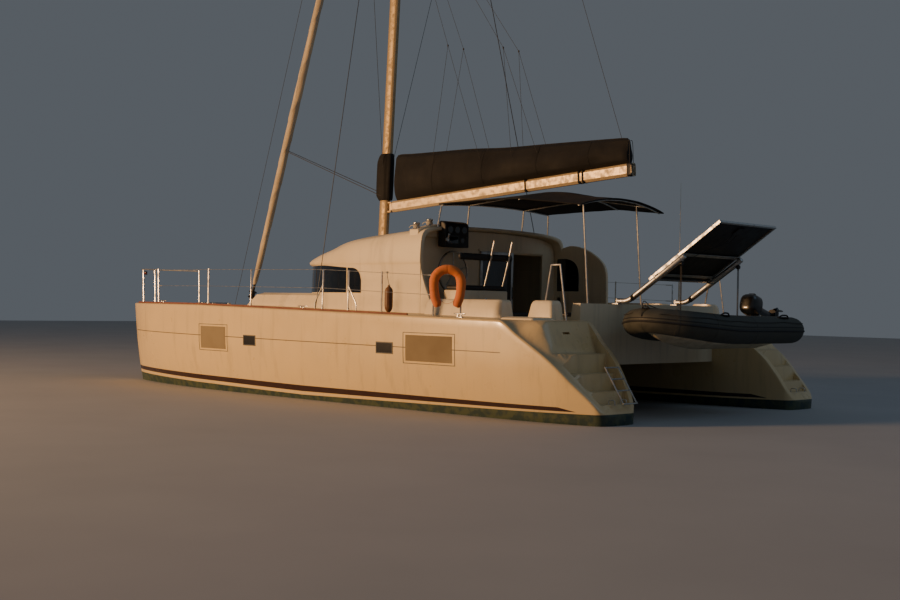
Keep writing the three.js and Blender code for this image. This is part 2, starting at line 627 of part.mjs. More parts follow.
// height of each ring of the raised foredeck, its half-breadth at the roof, and its front and half-breadth there
const FOREDECK = [
  { z: 1450, aftHalf: 1745, front: 3440, half: 1660 },
  { z: 1680, aftHalf: 1710, front: 3200, half: 1590 },
  { z: 1720, aftHalf: 1650, front: 3080, half: 1500 },
];
const FOREDECK_AFT = 900;
const bridgeHalf = BRIDGE_Y - GAP;
const foredeckBlock = cut(
  loft(FOREDECK.map(({ z, aftHalf, front, half }) => [
    [FOREDECK_AFT, -aftHalf, z], [front, -half, z], [front, half, z], [FOREDECK_AFT, aftHalf, z],
  ])),
  roofStack(ROOF_RINGS, GAP, ROOF_AFT_X, () => FLOOR_Z),
);
const bridgedeck = join(
  cut(
    prismY(bridgeOutline(), -bridgeHalf, bridgeHalf),
    box(WELL.aft, WELL.fore, -WELL_Y, WELL_Y, FLOOR_Z, CUT.top),
  ),
  prismY(AFT_BENCH, -bridgeHalf, bridgeHalf),
  box(WELL.aft - 20, -1500, -WELL_Y - 5, -1150, FLOOR_Z - 10, SIDE_BENCH_TOP),
  box(-2650, -1450, 450, WELL_Y + 5, FLOOR_Z - 10, SIDE_BENCH_TOP),
  foredeckBlock,
);
piece("bridgedeck", bridgedeck, "gelcoat");

// Aft bulkhead with the door and window openings, the door's rail and sill, and the boss of the wheel
const DOOR = { y0: -1420, y1: -620, z0: 1040, z1: 2460, lap: 25 };
const DOOR_TRAVEL = 845;
const DOOR_SILL = DOOR.z0 - 15;
const WHEEL = { x: -1230, y: 1000, z: 2100, radius: 340, rim: 14, boss: 60, dish: 38 };
const upper = box(BULKHEAD.aft, BULKHEAD.fore, -2000, 2000, 1480, 2900).intersect(roofRoom(-GAP));
const doorRun = (z0, z1) => box(
  BULKHEAD.aft - 34, BULKHEAD.aft + 5, DOOR.y0 - DOOR.lap, DOOR.y0 + 2 * DOOR_TRAVEL + DOOR.lap, z0, z1);
const bulkhead = cut(
  join(
    upper,
    box(BULKHEAD.aft, BULKHEAD.fore, -WELL_Y + GAP, WELL_Y - GAP, FLOOR_Z + GAP, 1490),
    doorRun(DOOR.z1 + DOOR.lap + RUNNING, DOOR.z1 + 55),
    doorRun(FLOOR_Z + GAP, DOOR_SILL),
    rod([BULKHEAD.aft + 5, WHEEL.y, WHEEL.z], [WHEEL.x, WHEEL.y, WHEEL.z], WHEEL.boss, 12),
  ),
  box(-1400, -1000, DOOR.y0, DOOR.y1, DOOR.z0, DOOR.z1),
);
piece("aft_bulkhead", bulkhead, "gelcoat");

// Sliding door, stored open on the port side of its opening
const door = new THREE.Group();
door.position.set(BULKHEAD.aft - 6, DOOR.y0 + DOOR_TRAVEL, 0);
boat.add(door);
const doorWidth = DOOR.y1 - DOOR.y0 + 2 * DOOR.lap;
piece(
  "saloon_door",
  box(-24, 0, -DOOR.lap, doorWidth - DOOR.lap, DOOR_SILL + RUNNING, DOOR.z1 + DOOR.lap),
  "glazing", door,
);

// Steering wheel on the bulkhead, facing aft
const wheel = new THREE.Group();
wheel.position.set(WHEEL.x - RUNNING, WHEEL.y, WHEEL.z);
boat.add(wheel);
const rim = new THREE.TorusGeometry(WHEEL.radius, WHEEL.rim, 8, 28);
rim.rotateY(Math.PI / 2);
rim.translate(-WHEEL.dish, 0, 0);
const SPOKES = 5;
const spokes = Array.from({ length: SPOKES }, (_, k) => {
  const a = (2 * Math.PI * k) / SPOKES;
  return rod([-WHEEL.dish, 0, 0], [-WHEEL.dish, WHEEL.radius * Math.sin(a), WHEEL.radius * Math.cos(a)], 9, 6);
});
piece("steering_wheel", join(solid(rim), tube([[0, 0, 0], [-60, 0, 0]], 38, 12), ...spokes), "stainless", wheel);

// Helm seat: a box base with a cushion edge, and a backrest on two raked tubes
const SEAT = { fore: -1580, aft: -2010, y0: 480, y1: 1540, top: 1800 };
const SEAT_BACK = { aft: -2120, fore: -2040, y0: 440, y1: 1700, low: 2280, high: 2385 };
const SEAT_TUBES = { y: [570, 1010], foot: [-1970, SEAT.top - 20], top: [-2170, 2610], radius: 15 };
piece("helm_seat", join(
  box(SEAT.aft, SEAT.fore, SEAT.y0, SEAT.y1, SIDE_BENCH_TOP + GAP, SEAT.top),
  box(SEAT_BACK.aft, SEAT_BACK.fore, SEAT_BACK.y0, SEAT_BACK.y1, SEAT_BACK.low, SEAT_BACK.high),
  ...SEAT_TUBES.y.map((y) => {
    const [[footX, footZ], [topX, topZ]] = [SEAT_TUBES.foot, SEAT_TUBES.top];
    return rod([footX, y, footZ], [topX, y, topZ], SEAT_TUBES.radius);
  }),
), "upholstery");

// What stands on the roof is cut to its surface
const onRoof = roofOuter(GAP);
const STAND_Z = 2500; // foot of the pod, the plinth and the struts, inside the roof

// Instrument pod: x and z of each ring's aft and fore edges, and its sides
const POD = [
  { aft: [-1430, STAND_Z], fore: [-1200, STAND_Z], y0: 800, y1: 1370 },
  { aft: [-1430, 2890], fore: [-1250, 2875], y0: 800, y1: 1370 },
  { aft: [-1410, 2935], fore: [-1290, 2915], y0: 830, y1: 1340 },
];
const podRings = POD.map(({ aft: [aftX, aftZ], fore: [foreX, foreZ], y0, y1 }) => [
  [aftX, y0, aftZ], [foreX, y0, foreZ], [foreX, y1, foreZ], [aftX, y1, aftZ],
]);
piece("helm_pod", cut(loft(podRings), onRoof), "helm_plastic");

// Two winches on one plinth: height above the drum's foot, and radius
const WINCH = [[-200, 70], [0, 70], [60, 48], [120, 58], [135, 30]];
const WINCHES = [[-1130, 1440, 2830], [-1110, 1720, 2760]];
const PLINTH = { aft: -1230, fore: -1020, y0: 1350, y1: 1800, top0: 2880, top1: 2775 };
const winches = WINCHES.map(([x, y, z]) =>
  tube(WINCH.map(([up]) => [x, y, z + up]), WINCH.map(([, r]) => r), 12));
const plinth = loft([PLINTH.aft, PLINTH.fore].map((x) => [
  [x, PLINTH.y0, STAND_Z], [x, PLINTH.y1, STAND_Z], [x, PLINTH.y1, PLINTH.top1], [x, PLINTH.y0, PLINTH.top0],
]));
piece("winches", cut(join(...winches, plinth), onRoof), "winch_metal");

// Mast, raked aft, on the roof, with one pair of swept spreaders
const MAST_FOOT = { x: 1480, z: 2830 };
const RAKE = THREE.MathUtils.degToRad(2.6);
const MAST_TOP = 17300;
const mastX = (z) => MAST_FOOT.x - (z - MAST_FOOT.z) * Math.tan(RAKE);
const HOUNDS = 14500;
const MAST_CHORD = 115; // half of the fore and aft size
const MAST_BREADTH = 75; // half of the width
const mastRing = (z, share, grow = 0) => Array.from({ length: 14 }, (_, i) => {
  const a = (2 * Math.PI * i) / 14;
  return [mastX(z) + (MAST_CHORD * share + grow) * Math.cos(a), (MAST_BREADTH * share + grow) * Math.sin(a), z];
});
const MAST_ROOT = 2350; // inside the roof
const TIP_SHARE = 0.72;
const mastTube = loft([mastRing(MAST_ROOT, 1), mastRing(HOUNDS, 1), mastRing(MAST_TOP, TIP_SHARE)]);
const SPREADER = { z: 9000, reach: 1100, sweep: 300, rise: 60 };
const GOOSENECK = { x: 1300, z: 3340 };
const lugAt = (low, high) => {
  const g = new THREE.BoxGeometry(90, 60, high - low);
  g.translate(15, 0, (low + high) / 2);
  g.rotateY(-RAKE);
  g.translate(GOOSENECK.x, 0, GOOSENECK.z);
  return solid(g);
};
const spreader = (s) => tube(
  [
    [mastX(SPREADER.z), 0, SPREADER.z],
    [mastX(SPREADER.z) - SPREADER.sweep, s * SPREADER.reach, SPREADER.z + SPREADER.rise],
  ],
  [42, 24], 8);
const LUG = { near: 70 + RUNNING, far: 96 }; // the gooseneck's two lugs, above and below the boom's pin
const mast = cut(
  join(mastTube, spreader(1), spreader(-1), lugAt(LUG.near, LUG.far), lugAt(-LUG.far, -LUG.near)),
  onRoof,
);
piece("mast", mast, "spar");

// Black collar of the sail cover, round the mast above the boom, with a belly ahead of it
const COLLAR = { low: 3470, bellyLow: 3560, bellyHigh: 4200, high: 4330, loose: 30, looseTop: 24, belly: 75 };
const bellied = (z) => mastRing(z, 1, COLLAR.loose).map(([x, y]) => [x > mastX(z) ? x + COLLAR.belly : x, y, z]);
piece("cover_collar", cut(
  loft([
    mastRing(COLLAR.low, 1, COLLAR.loose), bellied(COLLAR.bellyLow), bellied(COLLAR.bellyHigh),
    mastRing(COLLAR.high, 1, COLLAR.looseTop),
  ]),
  loft([mastRing(COLLAR.low - 70, 1, GAP), mastRing(COLLAR.high + 70, 1, GAP)]),
), "canvas");

// Boom with its sail bag, on the gooseneck pin that lies along the mast's rake
const BOOM_LENGTH = 5443;
const BOOM_RISE = THREE.MathUtils.degToRad(4);
const BOOM_HALF = { y: 65, z: 100, corner: 40 };
const gooseneck = new THREE.Group();
gooseneck.position.set(GOOSENECK.x, 0, GOOSENECK.z);
gooseneck.rotation.y = BOOM_RISE;
boat.add(gooseneck);
const boomRing = (x) => {
  const { y, z, corner: c } = BOOM_HALF;
  return [
    [x, y, z - c], [x, y - c, z], [x, c - y, z], [x, -y, z - c],
    [x, -y, c - z], [x, c - y, -z], [x, y - c, -z], [x, y, c - z],
  ];
};
const pin = new THREE.CylinderGeometry(20, 20, 140, 12);
pin.rotateX(Math.PI / 2);
pin.rotateY(-RAKE - BOOM_RISE);
piece("boom", join(
  loft([boomRing(-80), boomRing(-BOOM_LENGTH)]),
  box(-90, 0, -28, 28, -52, 52),
  solid(pin),
), "spar", gooseneck);
// distance aft of the gooseneck, half-width and height of the stowed sail's bag above the boom
const BAG_SECTIONS = [
  { x: -220, half: 105, high: 830 },
  { x: -600, half: 165, high: 800 },
  { x: -2000, half: 195, high: 690 },
  { x: -3700, half: 185, high: 530 },
  { x: -5000, half: 140, high: 420 },
  { x: -5380, half: 70, high: 385 },
];
const BAG_SHAPE = [[0.5, 0], [0.95, 0.16], [1, 0.38], [0.8, 0.66], [0.42, 0.92]];
const bagRing = ({ x, half, high }) => {
  const low = BOOM_HALF.z + GAP;
  const edge = (sign) => BAG_SHAPE.map(([w, h]) => [x, sign * w * half, low + h * high]);
  return [...edge(1), [x, 0, low + high], ...edge(-1).reverse()];
};
piece("sail_bag", loft(BAG_SECTIONS.map(bagRing)), "canvas", gooseneck);

// Forward crossbeam with the fore and aft longeron and the headstay lug
const CROSSBEAM = { x: 5300, z: 1401, radius: 80, half: 2300 };
const LONGERON = { half: 60, low: 1345, high: 1475 };
const STAY_FOOT = { x: 5440, z: 1530 };
const beamInner = moved(hullSolids.port, 0, -GAP - 0.1, 0).add(moved(hullSolids.starboard, 0, GAP + 0.1, 0));
const crossbeam = cut(
  join(
    rod(
      [CROSSBEAM.x, -CROSSBEAM.half, CROSSBEAM.z], [CROSSBEAM.x, CROSSBEAM.half, CROSSBEAM.z],
      CROSSBEAM.radius, 12,
    ),
    box(BRIDGE_FRONT_X + GAP, CROSSBEAM.x, -LONGERON.half, LONGERON.half, LONGERON.low, LONGERON.high),
    box(CROSSBEAM.x, STAY_FOOT.x + 90, -50, 50, 1380, 1455),
    box(STAY_FOOT.x - 30, STAY_FOOT.x + 30, -12, 12, 1440, STAY_FOOT.z),
  ),
  beamInner,
);
piece("crossbeam", crossbeam, "spar");

// Furled headsail on its stay, from the drum to the hounds
const stayX = (z) => STAY_FOOT.x + ((mastX(HOUNDS) - STAY_FOOT.x) * (z - STAY_FOOT.z)) / (HOUNDS - STAY_FOOT.z);
// height and radius along the rolled sail
const ROLL = [
  [STAY_FOOT.z + 6, 18], [1640, 18], [1645, 85], [1760, 85], [1765, 30], [1900, 42], [2600, 66], [5200, 84],
  [9000, 66], [12800, 40], [13600, 14], [HOUNDS, 10],
];
const headsail = tube(ROLL.map(([z]) => [stayX(z), 0, z]), ROLL.map(([, r]) => r), 10);
piece("furled_headsail", cut(headsail, moved(mast, GAP + 0.1, 0, 0), moved(crossbeam, 0, 0, GAP)), "headsail");

const SHROUD = { x: -100, y: 3000, z: 1300, radius: 7 };
const NET_HALF_THICK = 6;
for (const { side, s } of SIDES) {
  const shroud = rod([SHROUD.x, s * SHROUD.y, SHROUD.z], [mastX(HOUNDS), 0, HOUNDS], SHROUD.radius, 6);
  const ends = [moved(mast, 0, s * (GAP + 0.1), 0), moved(hullSolids[side], 0, 0, GAP)];
  piece(`shroud_${side}`, cut(shroud, ...ends), "wire");

  // Trampoline between the longeron, the crossbeam, the hull and the bridgedeck
  const [netAft, netFore] = [BRIDGE_FRONT_X + GAP, CROSSBEAM.x - CROSSBEAM.radius - GAP];
  const [netInner, netOuter] = [s * (LONGERON.half + GAP), s * CROSSBEAM.half];
  const net = box(
    netAft, netFore, netInner, netOuter, CROSSBEAM.z - NET_HALF_THICK, CROSSBEAM.z + NET_HALF_THICK,
  );
  const shaved = cut(net, moved(hullSolids[side], 0, -s * (GAP + 0.1), 0));
  const inner = shaved.decompose().sort((a, b) => b.volume() - a.volume())[0];
  piece(`trampoline_${side}`, inner, "net");
}

// Frame for the horseshoe lifebuoy, which faces aft and to port on the side deck
const BUOY = { x: -3030, y: 2980, arch: 225, ring: 58, archZ: 1865, legZ: 1500, shoulder: 100 };
const BUOY_FRAME = { half: 200, foot: 1300, top: 2010 };
const facing = Math.PI / 4;
const along = (e, n, z) => [
  BUOY.x + e * Math.cos(facing) - n * Math.sin(facing), BUOY.y + e * Math.sin(facing) + n * Math.cos(facing), z,
];
const behind = -(BUOY.ring + TUBE + GAP + 0.4);
const { half: postHalf, foot: postFoot, top: postTop } = BUOY_FRAME;
piece("lifebuoy_frame", onBothDecks(tube([
  along(-postHalf, behind, postFoot), along(-postHalf, behind, postTop),
  along(postHalf, behind, postTop), along(postHalf, behind, postFoot),
], TUBE)), "stainless");
const horseshoe = [
  along(-BUOY.arch, 0, BUOY.legZ), along(-BUOY.arch, 0, BUOY.archZ - BUOY.shoulder),
  ...arc(0, BUOY.archZ, BUOY.arch, 180, 0, 8).map(([e, z]) => along(e, 0, z)),
  along(BUOY.arch, 0, BUOY.archZ - BUOY.shoulder), along(BUOY.arch, 0, BUOY.legZ),
];
piece("lifebuoy", tube(horseshoe, BUOY.ring, 10), "lifebuoy");

// Small fender standing against the aft port stanchion
const FENDER = { x: -1751, y: 2928, foot: 60 };
// height above its foot, radius
const FENDER_RINGS = [[0, FENDER.foot], [45, 99.5], [390, 99.5], [435, 50]];
const fenderFoot = deckZ(FENDER.x + FENDER.foot) + GAP;
const fenderPath = FENDER_RINGS.map(([up]) => [FENDER.x, FENDER.y, fenderFoot + up]);
piece("fender", tube(fenderPath, FENDER_RINGS.map(([, r]) => r), 12), "fender");

// Bimini: canopy sections from fore to aft, and the frame that carries it
const CANOPY = [
  { x: -1300, half: 1400, edge: 3190, crown: 3250 },
  { x: -2200, half: 1380, edge: 3215, crown: 3350 },
  { x: -2900, half: 1320, edge: 3220, crown: 3400 },
  { x: -3960, half: 1080, edge: 3100, crown: 3250 },
];
const CANOPY_THICK = 14;
const ACROSS = [-1, -0.72, -0.36, 0, 0.36, 0.72, 1];
const canopyZ = ({ edge, crown }, u) => crown - (crown - edge) * u * u;
const canopyRing = (section) => [
  ...ACROSS.map((u) => [section.x, u * section.half, canopyZ(section, u)]),
  ...[...ACROSS].reverse().map((u) => [section.x, u * section.half, canopyZ(section, u) + CANOPY_THICK]),
];
piece("bimini_canopy", loft(CANOPY.map(canopyRing), true), "canvas");
// all the room above the canopy's underside, wider and longer than the canopy itself
const ABOVE = { end: 400, side: 300, drop: 100, top: 6000 };
const underCanopy = loft([
  { ...CANOPY[0], x: CANOPY[0].x + ABOVE.end }, ...CANOPY, { ...CANOPY[3], x: CANOPY[3].x - ABOVE.end },
].map((section) => {
  const { x, half, edge } = section;
  const [wide, low] = [half + ABOVE.side, edge - ABOVE.drop];
  return [
    [x, -wide, low], ...ACROSS.map((u) => [x, u * half, canopyZ(section, u) - GAP]), [x, wide, low],
    [x, wide, ABOVE.top], [x, -wide, ABOVE.top],
  ];
}));
const BOW_TUBE = 14;
const BOW_REACH = 0.97; // share of the canopy's half-breadth that a bow spans
const bow = (section) => tube(
  ACROSS.map((u) => [
    section.x, u * BOW_REACH * section.half, canopyZ(section, u * BOW_REACH) - BOW_TUBE + 3,
  ]),
  BOW_TUBE, 8);
const between = (a, b, t) => Object.fromEntries(Object.keys(a).map((k) => [k, a[k] + (b[k] - a[k]) * t]));
const foreBow = between(CANOPY[0], CANOPY[1], 0.03);
const aftBow = between(CANOPY[3], CANOPY[2], 0.06);
const railY = 700;
const railPoint = (section) => [section.x, railY, canopyZ(section, railY / section.half) - BOW_TUBE];
const sideRail = (s) => tube([foreBow, CANOPY[1], CANOPY[2], aftBow].map((section) => {
  const [x, y, z] = railPoint(section);
  return [x, s * y, z];
}), BOW_TUBE, 8);
const POLE = { foot: -3840, top: -3700 };
const poleShare = (POLE.top - CANOPY[3].x) / (CANOPY[2].x - CANOPY[3].x);
const poleTop = railPoint(between(CANOPY[3], CANOPY[2], poleShare))[2];
const POLE_LIFT = 1.4; // the pole's foot is square, and its lower edge clears the bench
const STRUT_X = -1250;
const STRUTS = [{ foot: 1450, top: 1370 }, { foot: 700, top: 700 }];
const strutTop = (y) => canopyZ(foreBow, y / foreBow.half) - BOW_TUBE;
const frame = join(
  bow(foreBow), bow(CANOPY[2]), bow(aftBow), sideRail(1), sideRail(-1),
  ...[-1, 1].flatMap((s) => [
    rod([POLE.foot, s * railY, BENCH_TOP + POLE_LIFT], [POLE.top, s * railY, poleTop], BOW_TUBE),
    ...STRUTS.map(({ foot, top }) =>
      rod([STRUT_X, s * foot, STAND_Z], [foreBow.x, s * top, strutTop(top)], BOW_TUBE)),
  ]),
);
piece("bimini_frame", cut(frame, onRoof, underCanopy), "stainless");

// Davits on the aft beam, with their falls, and the solar panel on rails between them
const DAVIT = {
  y: 770, root: [-4430, 1668], foot: [-4625, 1665], slope: 0.684, head: -5540, past: 60, radius: 40, sides: 10,
};
const davitZ = (x) => DAVIT.foot[1] + (DAVIT.foot[0] - x) * DAVIT.slope;
const davitFlat = DAVIT.radius * Math.cos(Math.PI / DAVIT.sides); // the tube's upper side is a flat
const davitTop = (x) => davitZ(x) + davitFlat * Math.hypot(1, DAVIT.slope);
const DINGHY = { x: DAVIT.head, floor: 1150 };
const EYE_TOP = 1260;
for (const { side, s } of SIDES) {
  const y = s * DAVIT.y;
  const end = DAVIT.head - DAVIT.past;
  const armRun = [DAVIT.root, DAVIT.foot, [end, davitZ(end)]].map(([x, z]) => [x, y, z]);
  piece(`davit_${side}`, join(
    tube(armRun, armRun.map(() => DAVIT.radius), DAVIT.sides),
    box(-4490, -4370, y - 60, y + 60, BACKREST_TOP + GAP, BACKREST_TOP + 60),
    rod([DAVIT.head, y, davitZ(DAVIT.head)], [DAVIT.head, y, EYE_TOP + GAP], 9),
    rod([DAVIT.head, y, EYE_TOP + 30], [DAVIT.head, y, EYE_TOP + 110], 28),
  ), "stainless");
}
const PANEL = { foot: [-5000, 1972], slope: 0.698, length: 1433, half: 770, thick: 38 };
const panelZ = (x) => PANEL.foot[1] + (PANEL.foot[0] - x) * PANEL.slope;
const panelRun = PANEL.length / Math.hypot(1, PANEL.slope);
const panelHead = PANEL.foot[0] - panelRun;
const panel = prismY([
  PANEL.foot, [panelHead, panelZ(panelHead)],
  [panelHead + PANEL.thick * PANEL.slope, panelZ(panelHead) + PANEL.thick],
  [PANEL.foot[0] + PANEL.thick * PANEL.slope, PANEL.foot[1] + PANEL.thick],
], -PANEL.half, PANEL.half);
const RAIL = { at: [-5120, -5540], half: 25, reach: 800, into: 12 };
const panelRails = RAIL.at.map((x) => {
  const [aft, fore] = [x - RAIL.half, x + RAIL.half];
  return prismY([
    [fore, davitTop(fore) + GAP], [aft, davitTop(aft) + GAP],
    [aft, panelZ(aft) + RAIL.into], [fore, panelZ(fore) + RAIL.into],
  ], -RAIL.reach, RAIL.reach);
});
piece("solar_panel", join(panel, ...panelRails), "solar");

// Dinghy: one bent tube, bow to port, with its rigid bottom, transom and lifting eyes
const tubeRun = [
  { x: -590, y: -1560, z: 1265, r: 70 },
  { x: -590, y: -1300, z: 1275, r: 195 },
  { x: -590, y: 300, z: 1285, r: 205 },
  { x: -560, y: 800, z: 1310, r: 200 },
  { x: -440, y: 1220, z: 1350, r: 190 },
  { x: -200, y: 1480, z: 1385, r: 178 },
];
const bowTip = { x: 0, y: 1555, z: 1400, r: 175 };
const round = [...tubeRun, bowTip, ...[...tubeRun].reverse().map((p) => ({ ...p, x: -p.x }))];
const dinghyTubes = (grow) =>
  tube(round.map(({ x, y, z }) => [DINGHY.x + x, y, z]), round.map(({ r }) => r + grow), 10);
piece("dinghy_tubes", dinghyTubes(0), "dinghy_tube");
// distance along the boat, half-breadth and keel height of the rigid bottom
const BOTTOM = [
  { y: -1290, half: 470, keel: 985 }, { y: 300, half: 460, keel: 985 }, { y: 900, half: 380, keel: 1040 },
  { y: 1330, half: 180, keel: 1150 },
];
const bottomRing = ({ y, half, keel }) => [
  [DINGHY.x - half, y, DINGHY.floor + 40], [DINGHY.x - half, y, DINGHY.floor], [DINGHY.x, y, keel],
  [DINGHY.x + half, y, DINGHY.floor], [DINGHY.x + half, y, DINGHY.floor + 40],
].map(([x, ry, z]) => [x, ry, z + Math.max(0, y - 300) * 0.09]);
const TRANSOM = { y0: -1290, y1: -1250, top: 1435 };
const OUTBOARD = { y: -1330, z: 1440 };
const CLAMP_HALF = 55;
const lugs = [-1, 1].map((s) => box(
  DINGHY.x + s * (CLAMP_HALF + RUNNING), DINGHY.x + s * (CLAMP_HALF + 30), OUTBOARD.y - 30, TRANSOM.y1 - 5,
  OUTBOARD.z - 40, OUTBOARD.z + 15));
const EYE_HALF = 35;
const eyes = [-1, 1].map((s) => box(
  DINGHY.x - EYE_HALF, DINGHY.x + EYE_HALF, s * DAVIT.y - EYE_HALF, s * DAVIT.y + EYE_HALF,
  DINGHY.floor, EYE_TOP));
piece("dinghy_hull", cut(
  join(
    loft(BOTTOM.map(bottomRing)),
    box(DINGHY.x - 430, DINGHY.x + 430, TRANSOM.y0, TRANSOM.y1, DINGHY.floor, TRANSOM.top), ...lugs, ...eyes,
  ),
  dinghyTubes(GAP),
), "dinghy_hull");

// Outboard, stored tilted up; it is drawn running, then turned about its clamp
const TILT = THREE.MathUtils.degToRad(-75);
const outboard = new THREE.Group();
outboard.position.set(DINGHY.x, OUTBOARD.y, OUTBOARD.z);
outboard.rotation.x = TILT;
boat.add(outboard);
// height, half-width, and the ends of each ring of the engine cowl
const COWL = [
  { z: 40, half: 120, aft: -290, fore: -20 }, { z: 110, half: 145, aft: -320, fore: 10 },
  { z: 300, half: 145, aft: -310, fore: 0 }, { z: 370, half: 105, aft: -270, fore: -40 },
];
const COWL_CORNER = { across: 0.7, along: 50 };
const cowlRing = ({ z, half, aft, fore }) => {
  const [flat, c] = [half * COWL_CORNER.across, COWL_CORNER.along];
  return [
    [-flat, fore, z], [flat, fore, z], [half, fore - c, z], [half, aft + c, z],
    [flat, aft, z], [-flat, aft, z], [-half, aft + c, z], [-half, fore - c, z],
  ];
};
// height, half-width and ends of the leg, from the cowl to the gear case
const LEG = [{ z: 60, half: 45, aft: -190, fore: -80 }, { z: -520, half: 25, aft: -200, fore: -95 }];
const GEAR = { z: -560, nose: -20, shoulder: -90, aft: -255 };
piece("outboard", join(
  rod([-CLAMP_HALF, 0, 0], [CLAMP_HALF, 0, 0], 26, 12),
  box(-40, 40, -110, 0, -22, 60),
  loft(COWL.map(cowlRing)),
  loft(LEG.map(({ z, half, aft, fore }) => [[-half, fore, z], [half, fore, z], [half, aft, z], [-half, aft, z]])),
  tube([[0, GEAR.nose, GEAR.z], [0, GEAR.shoulder, GEAR.z], [0, GEAR.aft, GEAR.z]], [14, 42, 38], 10),
  box(-12, 12, -190, -90, -690, -500),
  box(-70, 70, -260, -80, -430, -418),
), "outboard", outboard);
const outboardScrew = new THREE.Group();
outboardScrew.position.set(0, GEAR.aft - RUNNING, GEAR.z);
outboard.add(outboardScrew);
const SMALL_BLADE = [
  { r: 15, half: 22, pitch: 50 }, { r: 65, half: 38, pitch: 34 }, { r: 98, half: 20, pitch: 26 },
];
const SMALL_BLADE_THICK = 3;
let smallScrew = tube([[0, 0, 0], [0, -50, 0], [0, -75, 0]], [34, 30, 10], 10);
for (let k = 0; k < 3; k++) {
  const turn = (2 * Math.PI * k) / 3;
  const rings = bladeRings(SMALL_BLADE, SMALL_BLADE_THICK, 28).map((ring) => ring.map(([ahead, across, r]) => [
    across * Math.cos(turn) - r * Math.sin(turn), ahead, across * Math.sin(turn) + r * Math.cos(turn),
  ]));
  smallScrew = join(smallScrew, loft(rings));
}
piece("outboard_propeller", smallScrew, "outboard", outboardScrew);

// Boarding ladder, folded up over the port steps and hinged at the platform's edge
const LADDER_LEAN = THREE.MathUtils.degToRad(56);
const ladder = new THREE.Group();
ladder.position.set(LADDER.x, LADDER.y, LADDER.z);
ladder.rotation.y = -LADDER_LEAN;
boat.add(ladder);
const RUNGS = [0.36, 0.68, 1]; // as shares of the ladder's length
const rungs = RUNGS.map((t) =>
  rod([LADDER.length * t, -LADDER.half, 0], [LADDER.length * t, LADDER.half, 0], LADDER.tube, 6));
const ladderLegs = [-1, 1].map((s) =>
  rod([0, s * LADDER.half, 0], [LADDER.length + LADDER.tube, s * LADDER.half, 0], LADDER.tube, 6));
const reach = LADDER.half + LADDER.tube;
const ladderPin = rod([0, -reach, 0], [0, reach, 0], LADDER.tube, 8);
piece("boarding_ladder", join(ladderPin, ...ladderLegs, ...rungs), "stainless", ladder);

export default boat;
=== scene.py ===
# %% [markdown]
# # A cruising sailing catamaran, dressed for its portrait
#
# The boat's structure arrives as a fixed frame: hulls, decks, spars and everything that moves, at real
# size. This notebook gives that frame its looks. It smooths what the frame keeps plain, hangs the
# rigging, folds the sail into its bag and gives each surface a finish. Lengths are in metres, +X points
# forward, +Y to port and +Z up, and the water lies at z = 0.

# %% Load the frame
import math

import bmesh
import bpy
from mathutils import Matrix, Vector, noise


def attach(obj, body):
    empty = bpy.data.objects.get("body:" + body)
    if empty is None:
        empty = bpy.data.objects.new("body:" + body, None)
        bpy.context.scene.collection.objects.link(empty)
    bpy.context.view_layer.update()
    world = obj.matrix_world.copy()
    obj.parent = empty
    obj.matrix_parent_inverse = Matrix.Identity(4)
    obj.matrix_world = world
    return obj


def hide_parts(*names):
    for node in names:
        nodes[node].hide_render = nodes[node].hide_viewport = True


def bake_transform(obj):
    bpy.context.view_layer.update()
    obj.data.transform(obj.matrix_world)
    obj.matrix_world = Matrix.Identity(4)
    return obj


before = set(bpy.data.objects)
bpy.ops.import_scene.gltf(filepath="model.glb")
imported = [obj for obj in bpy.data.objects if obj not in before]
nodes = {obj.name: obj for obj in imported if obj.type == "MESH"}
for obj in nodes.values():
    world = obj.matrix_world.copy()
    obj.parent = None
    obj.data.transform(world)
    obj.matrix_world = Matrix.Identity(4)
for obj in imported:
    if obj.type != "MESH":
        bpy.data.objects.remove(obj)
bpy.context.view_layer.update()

# %% [markdown]
# ## The camera
#
# The photograph was taken from a dinghy's height off the port quarter, a few boat lengths away. The eye
# stands 1.6 m above the water and looks almost level, with a slight roll. The long side of the picture is
# 900 pixels, and the lens follows from the focal length in pixels. The picture's own middle lies left of
# the frame's middle, so the lens is shifted rather than turned, which keeps upright things upright.

# %% Camera
EYE = Vector((-15.92, 16.51, 1.57))
HEADING, PITCH, ROLL = (math.radians(angle) for angle in (-45.2, 0.16, 1.11))
PICTURE_WIDTH = 900
FOCAL_PIXELS = 1290
MIDDLE_OFFSET = 29.5
SENSOR = 36.0


def photograph_camera():
    level = math.cos(PITCH)
    ahead = Vector((level * math.cos(HEADING), level * math.sin(HEADING), math.sin(PITCH)))
    level_right = ahead.cross(Vector((0, 0, 1))).normalized()
    level_up = level_right.cross(ahead)
    right = level_right * math.cos(ROLL) + level_up * math.sin(ROLL)
    up = level_up * math.cos(ROLL) - level_right * math.sin(ROLL)
    data = bpy.data.cameras.new("photograph")
    data.sensor_width = SENSOR
    data.lens = FOCAL_PIXELS * SENSOR / PICTURE_WIDTH
    data.shift_x = MIDDLE_OFFSET / PICTURE_WIDTH
    data.clip_end = 200
    camera = bpy.data.objects.new("photograph", data)
    camera.matrix_world = Matrix.Translation(EYE) @ Matrix((right, up, -ahead)).transposed().to_4x4()
    bpy.context.scene.collection.objects.link(camera)
    bpy.context.scene.camera = camera
    return camera


camera = photograph_camera()
print("lens", round(camera.data.lens, 1), "mm")

# %% [markdown]
# ## Shader sums written as Python
#
# A finish is a chain of small sums: how far a point lies above the water, how grainy the paint is there,
# which colour follows. Written node by node such a chain is long and hard to read. A `Value` wraps one
# output socket and overloads the arithmetic operators, so `0.5 - height * 2` adds the Math nodes itself.
# Colours never go through Math nodes, because those would turn them grey.

# %% The Value class


